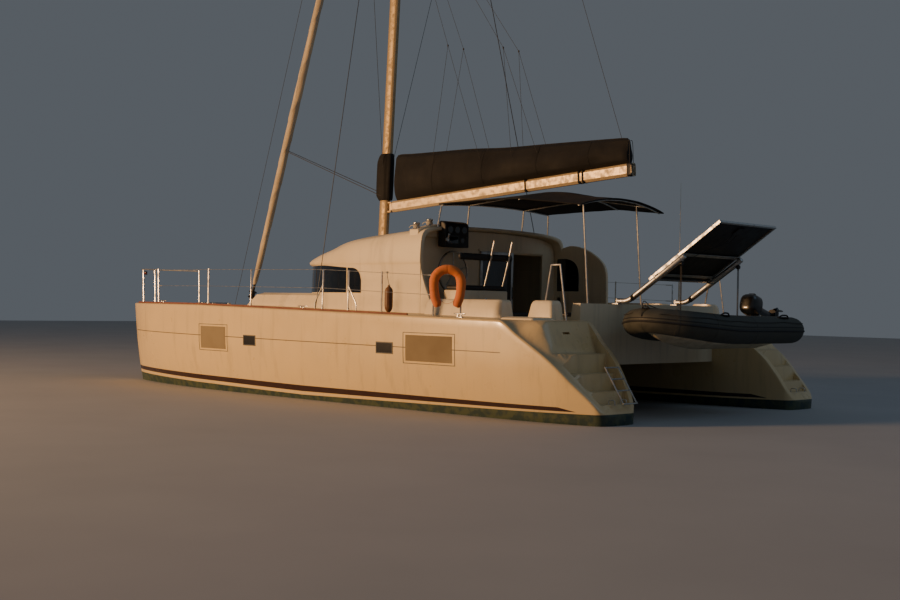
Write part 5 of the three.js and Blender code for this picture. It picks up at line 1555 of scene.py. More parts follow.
for y in (0.0, 0.1):
    cable = [on_panel(PANEL_LONG - 0.24, y, 0.01), on_panel(PANEL_LONG - 0.4, y + 0.02, -0.03)]
    cable += [on_panel(0.8, 0.4, -0.03), on_panel(0.3, 0.68, -0.03), davit_point(-4.8, DAVIT_Y, 0.046)]
    back.tube(bend(cable, 0.15), 0.004, 8)
make("panel_back", back, "boat", BLACK_PLASTIC, ["solar_panel"], 30)
print("davits and panel made")

# %% [markdown]
# ## Dinghy
#
# The dinghy hangs athwartships from the tackles, bow to port. Its buoyancy tube is one bent sleeve of
# coated fabric whose radius changes along the way, glued together from panels. Broad tapes cover the
# joints, black cones close the ends, and a rubber strake runs round outside at half height. Under it is a
# rigid shell with a shallow V. A smooth curve through measured places, each with its radius, gives the
# sleeve, and the tapes and strakes are offsets from the same curve.

# %% Dinghy
DINGHY_X = -5.54
# distance off the middle line, place along the boat, height, radius
SLEEVE = [
    (0.590, -1.560, 1.265, 0.070),
    (0.590, -1.440, 1.270, 0.150),
    (0.590, -1.300, 1.275, 0.195),
    (0.590, -0.700, 1.280, 0.203),
    (0.590, 0.300, 1.285, 0.205),
    (0.560, 0.800, 1.310, 0.200),
    (0.440, 1.220, 1.350, 0.190),
    (0.200, 1.480, 1.385, 0.178),
]
half_run = [Vector((x, y, z, r)) for x, y, z, r in SLEEVE]
mirrored = [Vector((-v.x, v.y, v.z, v.w)) for v in half_run]
whole_run = mirrored + [Vector((0, 1.555, 1.4, 0.175))] + half_run[::-1]
sleeve_run = curve(whole_run, 9)
sleeve_path = [Vector((DINGHY_X + v.x, v.y, v.z)) for v in sleeve_run]
sleeve_radius = [v.w for v in sleeve_run]
tubes = Shape().tube(sleeve_path[5:-5], sleeve_radius[5:-5], 36)
dinghy_tube = make("dinghy_sleeve", tubes, "boat", DINGHY_FABRIC, ["dinghy_tubes"], 60)


def sleeve_side(i, angle, over=0.0):
    """A place on the sleeve: the point's number, and the angle up from the outboard side."""
    middle, r = sleeve_path[i], sleeve_radius[i] + over
    ahead = (sleeve_path[min(i + 1, len(sleeve_path) - 1)] - sleeve_path[max(i - 1, 0)]).normalized()
    out = ahead.cross(Vector((0, 0, 1))).normalized()
    if (middle - Vector((DINGHY_X, 0.3, middle.z))).dot(out) < 0:
        out = -out
    up = ahead.cross(out)
    up = up if up.z > 0 else -up
    return middle + out * (r * math.cos(angle)) + up * (r * math.sin(angle))


count = len(sleeve_path)
tapes = Shape()
for i in (18, 32, 46, 58, 72, count // 2, count - 73, count - 59, count - 47, count - 33, count - 19):
    band = [sleeve_path[i].lerp(sleeve_path[i + 1], t) for t in (0, 0.35, 0.7, 1.0)]
    tapes.tube(band, sleeve_radius[i] + 0.0022, 36)
make("dinghy_tapes", tapes, "boat", DINGHY_FABRIC, ["dinghy_tubes"], 60)
black_parts = Shape()
for angle, size in ((-0.05, 0.017), (0.22, 0.009)):
    black_parts.tube([sleeve_side(i, angle, -0.004) for i in range(10, count - 10)], size, 8)
for ends in (range(0, 13), range(count - 1, count - 14, -1)):
    cone = [(sleeve_path[i], sleeve_radius[i] + 0.003) for i in ends]
    tip = cone[0][0] + (cone[0][0] - cone[3][0]).normalized() * 0.004
    black_parts.tube([tip] + [p for p, _ in cone], [0.03] + [r for _, r in cone], 32)
for i in (24, 42, count // 2, count - 43, count - 25):
    patch = [sleeve_side(i + k, 1.15, 0.002) for k in range(-2, 3)]
    black_parts.tube(patch, [0.02, 0.045, 0.05, 0.045, 0.02], 12, 0.15)
    grip = [sleeve_side(i + k, 1.15, over) for k, over in ((-2, 0.0), (-1, 0.04), (1, 0.04), (2, 0.0))]
    black_parts.tube(bend(grip, 0.05), 0.012, 8)
make("dinghy_strakes", black_parts, "boat", DINGHY_BLACK, ["dinghy_tubes"], 40)

lines = Shape()
for start, stop in ((14, count // 2 - 6), (count // 2 + 6, count - 15)):
    rope = []
    for i in range(start, stop):
        swing = abs(math.sin((i - start) * math.pi / 12))
        rope.append(sleeve_side(i, 0.62 - 0.1 * swing, 0.006 + 0.012 * swing))
    lines.tube(rope, 0.005, 7)
painter = [sleeve_side(count // 2, 0.3, 0.01), (DINGHY_X + 0.03, 1.64, 1.66), (DINGHY_X + 0.15, 1.3, 1.60)]
lines.tube(curve(painter + [(DINGHY_X + 0.2, 0.9, 1.54)], 8), 0.006, 8)
make("dinghy_grab_lines", lines, "boat", ROPE_DARK, ["dinghy_tubes"])

# distance along the boat, half-breadth, height of the keel
BOTTOM = [(-1.29, 0.47, 0.985), (0.3, 0.46, 0.985), (0.9, 0.38, 1.04), (1.33, 0.18, 1.15), (1.45, 0.05, 1.22)]
SHELL_FLOOR = 1.15
shell = Shape()
rings = []
for y in spaced(-1.29, 1.45, 40):
    half, keel = smooth_row(BOTTOM, y)
    floor = SHELL_FLOOR + max(0.0, y - 0.3) * 0.09
    side = [(half, floor + 0.04), (half, floor), (half * 0.93, floor - (floor - keel) * 0.16)]
    side += [(half * 0.66, floor - (floor - keel) * 0.42), (half * 0.64, floor - (floor - keel) * 0.52)]
    side += [(half * 0.3, floor - (floor - keel) * 0.8), (0.016, keel), (0.0, keel)]
    ring = [(DINGHY_X + x, y, z) for x, z in side] + [(DINGHY_X - x, y, z) for x, z in side[::-1]]
    rings.append(ring)
shell.loft(rings)
transom = [(-0.43, 1.16), (-0.43, 1.40), (-0.34, 1.435), (0.34, 1.435), (0.43, 1.40), (0.43, 1.16)]
shell.loft([[(DINGHY_X + x, y, z) for x, z in transom] for y in (-1.29, -1.25)])
for y in (-DAVIT_Y, DAVIT_Y):
    shell.block((DINGHY_X - 0.035, y - 0.035, 1.15), (DINGHY_X + 0.035, y + 0.035, EYE_TOP - 0.03), 0.01)
soften(make("dinghy_shell", shell, "boat", DINGHY_SHELL, ["dinghy_hull"], 30), 0.006, 2)
fittings = Shape()
for y in (-DAVIT_Y, DAVIT_Y):
    eye_z = EYE_TOP - 0.024
    eye = [(DINGHY_X, y + 0.022 * math.cos(a), eye_z + 0.022 * math.sin(a)) for a in spaced(0, RING_END, 18)]
    fittings.tube(eye, 0.006, 8)
for sign in (-1, 1):
    x = DINGHY_X + sign * 0.07
    fittings.block((x - 0.014, -1.36, 1.405), (x + 0.014, -1.245, 1.452), 0.004)
make("dinghy_fittings", fittings, "boat", STAINLESS, ["dinghy_hull"])
pad = Shape()
pad.block((DINGHY_X - 0.16, -1.296, 1.3), (DINGHY_X + 0.16, -1.244, 1.444), 0.006)
make("transom_pad", pad, "boat", BLACK_PLASTIC, ["dinghy_hull"])
print("dinghy:", count, "places along the sleeve")

# %% [markdown]
# ## Outboard
#
# The outboard is clamped to the transom and stored tilted, its leg up and its cowl down in the boat. It
# is easier to draw running, upright, and to turn it about its clamp afterwards. `upright` does that turn.
# The cowl is a stack of rounded rings with a groove where its two halves meet.

# %% Outboard
CLAMP = Vector((DINGHY_X, -1.33, 1.44))
TILT = Matrix.Rotation(math.radians(-75), 4, "X")


def upright(shape):
    """Turns a shape drawn in the running engine's directions to the stored tilt."""
    shape.points = [CLAMP + (TILT @ point) for point in shape.points]
    return shape


def cowl_ring(z, half, aft, fore, power=3.0):
    ring = []
    for a in round_turns(40):
        c, s = math.cos(a), math.sin(a)
        x = half * math.copysign(abs(c) ** (2 / power), c)
        y = (aft + fore) / 2 + (fore - aft) / 2 * math.copysign(abs(s) ** (2 / power), s)
        ring.append((x, y, z))
    return ring


# height, half-breadth, aft end and fore end, here and for the leg
COWL = [
    (0.040, 0.085, -0.26, -0.05),
    (0.050, 0.105, -0.28, -0.03),
    (0.085, 0.128, -0.30, -0.005),
    (0.128, 0.142, -0.317, 0.007),
    (0.131, 0.136, -0.311, 0.001),
    (0.137, 0.136, -0.311, 0.001),
    (0.140, 0.143, -0.318, 0.008),
    (0.230, 0.145, -0.318, 0.006),
    (0.300, 0.138, -0.31, -0.002),
    (0.345, 0.120, -0.29, -0.02),
    (0.366, 0.085, -0.255, -0.055),
    (0.370, 0.040, -0.20, -0.10),
]
cowl = Shape().loft([cowl_ring(*row) for row in COWL])
cowl.block((-0.05, -0.335, 0.2), (0.05, -0.30, 0.25), 0.008)
make("outboard_cowl", upright(cowl), "outboard", MOTOR_PAINT, ["outboard"], 40)
LEG = [(0.05, 0.045, -0.2, -0.07), (-0.02, 0.045, -0.2, -0.075)]
LEG += [(-0.3, 0.03, -0.2, -0.085), (-0.52, 0.022, -0.2, -0.095)]
leg = Shape().loft([cowl_ring(*row, 2.2) for row in LEG])
GEARCASE = [(0.0, 0.006), (0.02, 0.024), (0.07, 0.04), (0.15, 0.043), (0.235, 0.038)]
leg.lathe((0, -0.02, -0.56), GEARCASE, 24, (0, -1, 0))
leg.loft([cowl_ring(-0.5, 0.011, -0.19, -0.09, 2), cowl_ring(-0.69, 0.006, -0.185, -0.125, 2)])
leg.loft([cowl_ring(-0.43, 0.07, -0.26, -0.08, 2.6), cowl_ring(-0.419, 0.07, -0.26, -0.08, 2.6)])
leg.block((-0.04, -0.11, -0.02), (0.04, 0.0, 0.055), 0.01)
leg.tube([(-0.055, 0, 0), (0.055, 0, 0)], 0.026, 16)
leg.tube(bend([(0.03, -0.02, 0.11), (0.03, 0.1, 0.14), (0.02, 0.2, 0.12)], 0.05), 0.017, 12)
make("outboard_leg", upright(leg), "outboard", MOTOR_PAINT, ["outboard"], 40)
print("outboard made")

# %% [markdown]
# ## Nets
#
# Two nets of polyester webbing lie between the hulls ahead of the deck. Straps cross over and under, sewn
# into a wide border, and a thin cord laces the border to the hulls, the deck and the beams. The weave is
# a wave along each strap whose sign changes from strap to strap, so each crossing has one strap over the
# other.

# %% Nets
NET_Z = 1.401
STRAP, STRAP_PITCH, STRAP_RISE, STRAP_THICK = 0.025, 0.05, 0.0014, 0.0018
NET_AFT, NET_FORE, NET_INNER = 3.475, 5.195, 0.08
NET_BORDER = 0.05


def net_outer(x):
    return HULL_Y - side_breadth(x, NET_Z, False) - 0.02


def ribbon(shape, path, across, width, thick):
    """A flat strap along a path, its width in one fixed direction."""
    side, lift = Vector(across) * (width / 2), Vector((0, 0, thick / 2))
    rings = []
    for point in path:
        p = Vector(point)
        rings.append([p - side - lift, p + side - lift, p + side + lift, p - side + lift])
    return shape.loft(rings)


def lacing(shape, edge, out, radius=0.0025, step=0.055):
    """A cord that runs to and fro between the border and the rail beside it."""
    zigzag = []
    total = (edge[-1] - edge[0]).length
    count = int(total / step)
    for k in range(count + 1):
        place = edge[0].lerp(edge[-1], k / count)
        zigzag.append(place + out * (0.02 if k % 2 else -0.03) + Vector((0, 0, 0.006)))
    return shape.tube(zigzag, radius, 6)


for side, sign in SIDES:
    net = Shape()
    length = 0.0
    for i in range(38):
        y = NET_INNER + STRAP / 2 + i * STRAP_PITCH
        start = NET_AFT
        while start < NET_FORE and net_outer(start) < y + 0.012:
            start += 0.0125
        if start > NET_FORE - 0.1:
            continue
        path = []
        for x in spaced(start, NET_FORE, max(4, int((NET_FORE - start) / 0.0167))):
            rise = STRAP_RISE * math.cos(math.pi * ((x - NET_AFT - STRAP / 2) / STRAP_PITCH + i))
            path.append((x, sign * y, NET_Z + rise))
        ribbon(net, path, (0, 1, 0), STRAP, STRAP_THICK)
        length += NET_FORE - start
    for j in range(35):
        x = NET_AFT + STRAP / 2 + j * STRAP_PITCH
        stop = net_outer(x)
        path = []
        for y in spaced(NET_INNER, stop, int((stop - NET_INNER) / 0.0167)):
            rise = -STRAP_RISE * math.cos(math.pi * ((y - NET_INNER - STRAP / 2) / STRAP_PITCH + j))
            path.append((x, sign * y, NET_Z + rise))
        ribbon(net, path, (1, 0, 0), STRAP, STRAP_THICK)
        length += stop - NET_INNER
    net_piece = make(f"net_{side}", net, "boat", WEBBING, [f"trampoline_{side}"], 50)

    border = Shape()
    inner = NET_INNER + NET_BORDER / 2
    for x in (NET_AFT + NET_BORDER / 2, NET_FORE - NET_BORDER / 2):
        end_edge = [(x, sign * y, NET_Z) for y in (NET_INNER, net_outer(x))]
        ribbon(border, end_edge, (1, 0, 0), NET_BORDER, 0.0065)
    ribbon(border, [(x, sign * inner, NET_Z) for x in (NET_AFT, NET_FORE)], (0, 1, 0), NET_BORDER, 0.0075)
    outer_edge = [(x, sign * (net_outer(x) - NET_BORDER / 2), NET_Z) for x in spaced(NET_AFT, NET_FORE, 24)]
    ribbon(border, outer_edge, (0, 1, 0), NET_BORDER, 0.0075)
    border_piece = make(f"net_border_{side}", border, "boat", WEBBING, [f"trampoline_{side}"], 50)

    cord = Shape()
    corners = [(NET_AFT, NET_INNER), (NET_FORE, NET_INNER)]
    corners += [(x, net_outer(x)) for x in (NET_FORE, NET_AFT)]
    corners = [Vector((x, sign * y, NET_Z)) for x, y in corners]
    lacing(cord, [corners[0], corners[1]], Vector((0, -sign, 0)) * 0.8)
    lacing(cord, [corners[1], corners[2]], Vector((1, 0, 0)))
    lacing(cord, [corners[3], corners[0]], Vector((-1, 0, 0)))
    for a, b in zip(outer_edge[::4], outer_edge[4::4]):
        lacing(cord, [Vector(a), Vector(b)], Vector((0, sign, 0)) * 1.6)
    cord_piece = make(f"net_lacing_{side}", cord, "boat", ROPE, [f"trampoline_{side}"])
    wide, long = net_outer(NET_FORE) - NET_INNER, NET_FORE - NET_AFT
    area = min(length * STRAP, wide * long)
print("nets:", round(length * STRAP, 2), "square metres of webbing a side")

# %% [markdown]
# ## Lifebuoy
#
# A horseshoe buoy stands on a bent rail by the port quarter, turned to face aft and outboard. Foam blocks
# fill a sewn cover, so the ring swells between its seams, flattens where the webbing goes round, and its
# legs curve inward to the tips.

# %% Lifebuoy
BUOY = Vector((-3.03, 2.98, 0))
BUOY_ALONG = Vector((1, 1, 0)).normalized()
BUOY_OUT = Vector((-1, 1, 0)).normalized()
BUOY_ARCH, BUOY_ARCH_Z = 0.197, 1.878
# distance along the leg's side, height, radius
BUOY_LEG = [(0.128, 1.530, 0.040), (0.136, 1.55, 0.056), (0.150, 1.59, 0.066)]
BUOY_LEG += [(0.178, 1.675, 0.070), (0.193, 1.78, 0.071)]


def on_buoy(along_it, height, out=0.0):
    return BUOY + BUOY_ALONG * along_it + BUOY_OUT * out + Vector((0, 0, height))


left = [(-u, z, r) for u, z, r in BUOY_LEG]
arch = []
for turn in spaced(180, 0, 13):
    a = math.radians(turn)
    arch.append((BUOY_ARCH * math.cos(a), BUOY_ARCH_Z + BUOY_ARCH * math.sin(a), 0.071))
right = [(u, z, r) for u, z, r in BUOY_LEG[::-1]]
horseshoe = curve([Vector((u, z, r)) for u, z, r in left + arch + right], 6)
SEAMS = (0.17, 0.34, 0.5, 0.66, 0.83)
buoy_path, buoy_radius = [], []
for k, place in enumerate(horseshoe):
    share = k / (len(horseshoe) - 1)
    near = min(abs(share - seam) for seam in SEAMS)
    waist = 0.0045 * math.exp(-((near / 0.008) ** 2))
    buoy_path.append(on_buoy(place.x, place.y))
    buoy_radius.append(place.z * 1.02 - waist - 0.0015 + 0.0015 * math.sin(31 * share))
ring = Shape().tube(buoy_path, buoy_radius, 32, 0.94)
buoy_piece = make("horseshoe_buoy", ring, "boat", BUOY_CLOTH, ["lifebuoy"], 60)
piping = Shape()
for seam in SEAMS:
    k = int(seam * (len(buoy_path) - 1))
    around = []
    centre, _, across, up = along(buoy_path)[k]
    for a in spaced(0, 2 * math.pi, 25):
        r = buoy_radius[k] + 0.001
        around.append(centre + across * (math.cos(a) * r) + up * (math.sin(a) * r * 0.94))
    piping.tube(around, 0.0022, 6)
make("buoy_piping", piping, "boat", BUOY_CLOTH, ["lifebuoy"])
straps = Shape()
for share in (0.08, 0.25, 0.75, 0.92):
    k = int(share * (len(buoy_path) - 1))
    spans = [k - 2, k - 1, k, k + 1, k + 2]
    straps.tube([buoy_path[i] for i in spans], [buoy_radius[i] + 0.002 for i in spans], 32, 0.94)
tail = [(0.09, 1.62, 0.02), (0.03, 1.58, 0.03), (-0.04, 1.585, 0.03), (-0.10, 1.63, 0.02)]
straps.tube(curve([on_buoy(*place) for place in tail], 6), 0.010, 8, 0.25)
make("buoy_straps", straps, "boat", BUOY_CLOTH, ["lifebuoy"], 60)
print("buoy:", len(buoy_path), "places round the horseshoe")

# %% [markdown]
# ## Fender
#
# The fender hangs upright from the guard wire on a short rope: a ribbed air-filled cylinder with rounded
# ends and a thick eye moulded at each end.

# %% Fender
FENDER = Vector((-1.751, 2.928, 1.41))
# height, radius
FENDER_SIDE = [
    (0.0, 0.018),
    (0.02, 0.022),
    (0.035, 0.035),
    (0.055, 0.048),
    (0.085, 0.058),
    (0.12, 0.062),
    (0.33, 0.062),
    (0.365, 0.057),
    (0.385, 0.045),
    (0.40, 0.03),
    (0.412, 0.02),
    (0.435, 0.017),
]
fender = Shape()
rings = []
for height in spaced(0.0, 0.435, 44):
    r = smooth_row(FENDER_SIDE, height)[0]
    rib = 0.035 * ease((height - 0.07) / 0.03) * ease((0.355 - height) / 0.03)
    ring = []
    for a in round_turns(96):
        swell = r * (1 + rib * (abs(math.cos(5 * a)) ** 0.6 - 0.6))
        ring.append(FENDER + Vector((swell * math.cos(a), swell * math.sin(a), height)))
    rings.append(ring)
fender.loft(rings)
make("ribbed_fender", fender, "boat", FENDER_VINYL, ["fender"], 50)
hang = Shape()
top = FENDER + Vector((0, 0, 0.425))
loop = [top + Vector((0.016 * math.cos(a), 0, 0.016 * math.sin(a))) for a in spaced(0, RING_END, 14)]
hang.tube(loop, 0.006, 8)
wire_end = Vector((-1.751, 2.975, 2.035))
slack = [top + Vector((0, 0, 0.012)), top.lerp(wire_end, 0.5) + Vector((0.004, 0, 0)), wire_end]
hang.tube(curve(slack, 8), 0.006, 8)
knot = []
for a in spaced(0, 12.5, 44):
    knot.append(wire_end + Vector((0.018 * math.sin(2.6 * a), 0.011 * math.cos(a), 0.010 * math.sin(a))))
hang.tube(knot, 0.0055, 8)
make("fender_rope", hang, "boat", ROPE, ["fender"])
print("fender:", len(rings), "rings")

# %% [markdown]
# ## Covers and side lights
#
# Tan mesh covers are stretched over the large windows in the topsides, each in a thin frame, and small
# dark lights lie beside them. `on_topside` reads the hull's own tables, so that the plates follow its
# flare.

# %% Topside windows
# name, ends along x, then foot and top
TOPSIDE_COVERS = [("fore", 1.92, 2.64, 0.73, 1.11), ("aft", -3.37, -2.45, 0.73, 1.11)]
SIDE_LIGHTS = [(1.10, 1.40, 0.83, 0.975), (-2.17, -1.84, 0.83, 0.975)]


def on_topside(x, z, sign, over=0.0):
    """A place on the outside of a hull, a little over its skin."""
    return Vector((x, sign * (HULL_Y + side_breadth(x, z, True) + over), z))


def topside_plate(shape, low, high, sign, under, over, steps=12):
    """A thin plate that follows the topside, from one corner to the other."""
    rings = []
    for x in spaced(low[0], high[0], steps):
        outside = [on_topside(x, z, sign, over) for z in spaced(low[1], high[1], 7)]
        inside = [on_topside(x, z, sign, under) for z in spaced(high[1], low[1], 7)]
        rings.append(outside + inside)
    return shape.loft(rings)


def topside_frame(shape, low, high, sign, width, over):
    bars = (
        ((low[0] - width, low[1] - width), (high[0] + width, low[1])),
        ((low[0] - width, high[1]), (high[0] + width, high[1] + width)),
        ((low[0] - width, low[1]), (low[0], high[1])),
        ((high[0], low[1]), (high[0] + width, high[1])),
    )
    for start, end in bars:
        topside_plate(shape, start, end, sign, -0.002, over)


for side, sign in SIDES:
    for name, x0, x1, z0, z1 in TOPSIDE_COVERS:
        cloth = topside_plate(Shape(), (x0, z0), (x1, z1), sign, 0.0015, 0.0035, 24)
        cover = make(f"window_cover_{name}_{side}", cloth, "boat", COVER_MESH, [f"hull_{side}"], 50)
    lights, rims = Shape(), Shape()
    for name, x0, x1, z0, z1 in TOPSIDE_COVERS:
        topside_frame(rims, (x0 - 0.045, z0 - 0.03), (x1 + 0.045, z1 + 0.03), sign, 0.010, 0.003)
    for x0, x1, z0, z1 in SIDE_LIGHTS:
        topside_plate(lights, (x0, z0), (x1, z1), sign, -0.002, 0.0015)
        topside_frame(rims, (x0, z0), (x1, z1), sign, 0.016, 0.005)
    make(f"side_lights_{side}", lights, "boat", TINTED, [f"hull_{side}"])
    make(f"window_rims_{side}", rims, "boat", GREY_PLASTIC, [f"hull_{side}"], 30)
print("topside windows made")

# %% [markdown]
# ## Guard rails
#
# Two wires run along each side from the pulpit to the lifebuoy's rail, through stanchions that stand at
# uneven distances: a pair close together makes a gate with a brace on each post. Wires end in
# turnbuckles.

# %% Guard rails
DECK_EDGE_Y = 2.98
# x of a stanchion, height of its top, whether it has a brace
STANCHIONS = [(1.58, 2.10, False), (-0.28, 2.085, True), (-0.89, 2.07, True)]
WIRE_ENDS = {"fore": (4.48, 2.905), "aft": (-2.84, 3.06)}
# heights of the upper and the lower wire: forward, at the gate, amidships and at the aft end
WIRE_HEIGHTS = ((2.1, 2.085, 2.03, 1.985), (1.81, 1.79, 1.74, 1.70))
# height and radius up a stanchion's foot, then the radius of its tube and of the tube's tip
POST_FOOT = [(0, 0.035), (0.006, 0.035), (0.01, 0.020), (0.055, 0.019), (0.06, 0.0135)]
POST_RADIUS, POST_TIP = 0.0125, 0.006


def turnbuckle(shape, start, towards, size=0.006):
    """A small bottle screw at the end of a wire."""
    a = Vector(start)
    way = (Vector(towards) - a).normalized()
    profile = [(0.0, size * 0.6), (0.02, size * 0.6), (0.022, size * 1.3), (0.035, size * 1.4)]
    profile += [(0.12, size * 1.4), (0.133, size * 1.3), (0.135, size * 0.7), (0.16, size * 0.7)]
    shape.lathe(a, profile, 12, way)


def guard_post(shape, x, y, foot, start, top):
    """A socket on the deck and an upright tube with a rounded end."""
    shape.lathe((x, y, foot), POST_FOOT, 20)
    radii = [POST_RADIUS, POST_RADIUS, POST_TIP]
    shape.tube([(x, y, start), (x, y, top), (x, y, top + 0.008)], radii, 14)


for side, sign in SIDES:
    posts = Shape()
    for x, top, braced in STANCHIONS:
        foot = deck_height(x)
        y = sign * DECK_EDGE_Y
        guard_post(posts, x, y, foot, foot + 0.02, top)
        if braced:
            lean = 0.19 if x > -0.5 else -0.19
            brace = [(x, y, top - 0.25), (x + lean, y, foot + 0.12), (x + lean, y, foot)]
            posts.tube(bend(brace, 0.06), 0.010, 12)
        for height in (top - 0.02, top - 0.32):
            posts.lathe((x, y - 0.017, height), [(0, 0.006), (0.034, 0.006)], 10, (0, 1, 0))
    make(f"side_stanchions_{side}", posts, "boat", STAINLESS, (), 40)

    wires = Shape()
    for fore_z, gate_z, mid_z, aft_z in WIRE_HEIGHTS:
        run = [(WIRE_ENDS["fore"][0], sign * WIRE_ENDS["fore"][1], fore_z), (2.8, sign * DECK_EDGE_Y, fore_z)]
        run += [(-0.28, sign * DECK_EDGE_Y, gate_z), (-1.65, sign * DECK_EDGE_Y, mid_z)]
        run += [(WIRE_ENDS["aft"][0], sign * WIRE_ENDS["aft"][1], aft_z)]
        wires.tube(run, 0.0035, 8)
        turnbuckle(wires, run[0], run[1])
        turnbuckle(wires, run[-1], run[-2])
    make(f"guard_wires_{side}", wires, "boat", STAINLESS)

# the starboard wires need a post of their own, where the port ones end on the lifebuoy's rail
end_post = Shape()
x, y = WIRE_ENDS["aft"]
guard_post(end_post, x, -y, deck_height(x), 1.39, 2.0)
make("wire_post_starboard", end_post, "boat", STAINLESS, (), 40)
print("guard rails made")

# %% [markdown]
# ## Mast wires and lines
#
# Besides its three main stays the mast carries diamonds over its spreaders, a topping lift that holds the
# boom's end, lazy jacks that gather the sail into its bag, a halyard led forward and the headsail's
# sheets. The boom turns about the mast. The topping lift and the lazy jacks end on the boom; they are
# straight wires cut into many pieces and attached to no body.

# %% Mast wires
HOUNDS, SPREADER_Z, SPREADER_REACH, SPREADER_SWEEP = 14.4, 9.03, 1.095, 0.3
LIFT_TOP_Z, JACKS_TOP_Z = 17.15, 9.6


def wire(shape, start, end, radius, pieces=2, sides=7):
    """A straight wire, cut into a number of pieces along its length."""
    a, b = Vector(start), Vector(end)
    return shape.tube([a.lerp(b, t) for t in spaced(0, 1, pieces)], radius, sides)


diamonds = Shape()
for sign in (-1, 1):
    tip = Vector((mast_x(SPREADER_Z) - SPREADER_SWEEP, sign * SPREADER_REACH, SPREADER_Z))
    low = Vector((mast_x(3.9), sign * 0.076, 3.9))
    high = Vector((mast_x(HOUNDS), sign * 0.062, HOUNDS))
    wire(diamonds, low, tip, 0.004)
    wire(diamonds, tip, high, 0.004)
    turnbuckle(diamonds, low, tip, 0.008)
    diamonds.lathe(tip - Vector((0, 0, 0.03)), [(0, 0.008), (0.01, 0.018), (0.05, 0.018), (0.06, 0.008)], 12)
make("diamond_wires", diamonds, "boat", RIG_WIRE)

LIFT_TOP = Vector((mast_x(LIFT_TOP_Z) - 0.06, 0, LIFT_TOP_Z))
LIFT_FOOT = on_boom(5.36, 0.0, 0.105)
lift = wire(Shape(), LIFT_TOP, LIFT_FOOT, 0.0035, 60)
lift_piece = make("topping_lift", lift, None, ROPE_DARK)
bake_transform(lift_piece)

# x and height of the knot, then distances aft of the gooseneck where the legs meet the bag
JACKS = [(-0.28, 6.1, (1.25, 2.39)), (-1.57, 5.9, (3.1, 3.65))]
# height and radius up a knot
KNOT_SIDE = [(0, 0.006), (0.01, 0.013), (0.03, 0.013), (0.04, 0.006)]
for side, sign in SIDES:
    jacks = Shape()
    for knot_x, knot_z, legs in JACKS:
        knot = Vector((knot_x, sign * 0.20, knot_z))
        wire(jacks, (mast_x(JACKS_TOP_Z), sign * 0.08, JACKS_TOP_Z), knot, 0.003, 30)
        jacks.lathe(knot - Vector((0, 0, 0.02)), KNOT_SIDE, 10)
        for aft in legs:
            half, high = smooth_row(BAG, aft)
            wire(jacks, knot, on_boom(aft, sign * half * 0.82, BOOM_HIGH + high * 0.72), 0.003, 12)
    jack_piece = make(f"lazy_jacks_{side}", jacks, None, ROPE_DARK)
    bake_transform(jack_piece)

running = Shape()
wire(running, (5.3, 0.5, 1.49), (mast_x(16.9), 0.06, 16.9), 0.004)
for sign in (-1, 1):
    clew = stay_point(4.6, HOUNDS) + Vector((-0.03, sign * 0.05, 0))
    wire(running, clew, (mast_x(3.55), sign * 0.11, 3.55), 0.006)
make("halyard_and_sheets", running, "boat", ROPE_DARK)
head = Shape()
head_x, head_foot, head_top = mast_x(17.25), 17.2, 17.3
head.block((head_x - 0.10, -0.05, head_foot), (head_x + 0.09, 0.05, head_top - 0.012), 0.01)
head.lathe((head_x - 0.07, 0, head_top - 0.02), [(0, 0.022), (0.012, 0.022), (0.018, 0.012)], 16)
make("masthead_fitting", head, "boat", BLACK_PLASTIC)

aerial = Shape()
AERIAL = Vector((-3.15, -2.8, deck_height(-3.15)))
AERIAL_SIDE = [(0, 0.03), (0.006, 0.03), (0.01, 0.016), (0.9, 0.0125)]
AERIAL_SIDE += [(0.93, 0.014), (1.2, 0.013), (1.22, 0.006)]
aerial.lathe(AERIAL, AERIAL_SIDE, 16)
aerial.tube([AERIAL + Vector((0, 0, h)) for h in (1.2, 1.8, 2.4)], [0.005, 0.004, 0.0025], 8)
make("whip_aerial", aerial, "boat", WHITE_PLASTIC, (), 30)
print("rigging made")

# %% [markdown]
# ## Steering place
#
# The skipper sits on a bench behind the wheel: a vinyl cushion with a seam round it, and a padded roll on
# two bright tubes for the back. The wheel's rim is bound in dark leather, stitched inside, and the pod
# ahead of it holds round instruments under a hood.

# %% Steering place
WHEEL = Vector((-1.2605, 1.0, 2.1))
WHEEL_RIM = 0.34
rim = Shape()
circle = []
for a in spaced(0, 2 * math.pi, 73):
    circle.append(WHEEL + Vector((0, WHEEL_RIM * math.cos(a), WHEEL_RIM * math.sin(a))))
rim.tube(circle, 0.0148, 14)
make("wheel_leather", rim, "steering_wheel", VINYL, (), 60)
hub = Shape()
HUB_SIDE = [(0, 0.03), (0.008, 0.042), (0.03, 0.042), (0.034, 0.02)]
hub.lathe(WHEEL + Vector((-0.012, 0, 0)), HUB_SIDE, 28, (1, 0, 0))
hub.lathe(WHEEL + Vector((-0.022, 0, 0)), [(0, 0.008), (0.004, 0.014), (0.012, 0.014)], 6, (1, 0, 0))
make("wheel_hub", hub, "steering_wheel", CHROME, (), 30)


# share of the thickness, how far the side is drawn in
CUSHION_SIDE = [(0.0, 0.014), (0.06, 0.005), (0.2, 0.0), (0.45, -0.004)]
CUSHION_SIDE += [(0.7, 0.0), (0.86, 0.008), (0.96, 0.03)]
# how far the top ring shrinks, share of the dome's height
CUSHION_DOME = [(0.75, 0.55), (0.5, 0.85), (0.25, 0.97), (0.02, 1.0)]


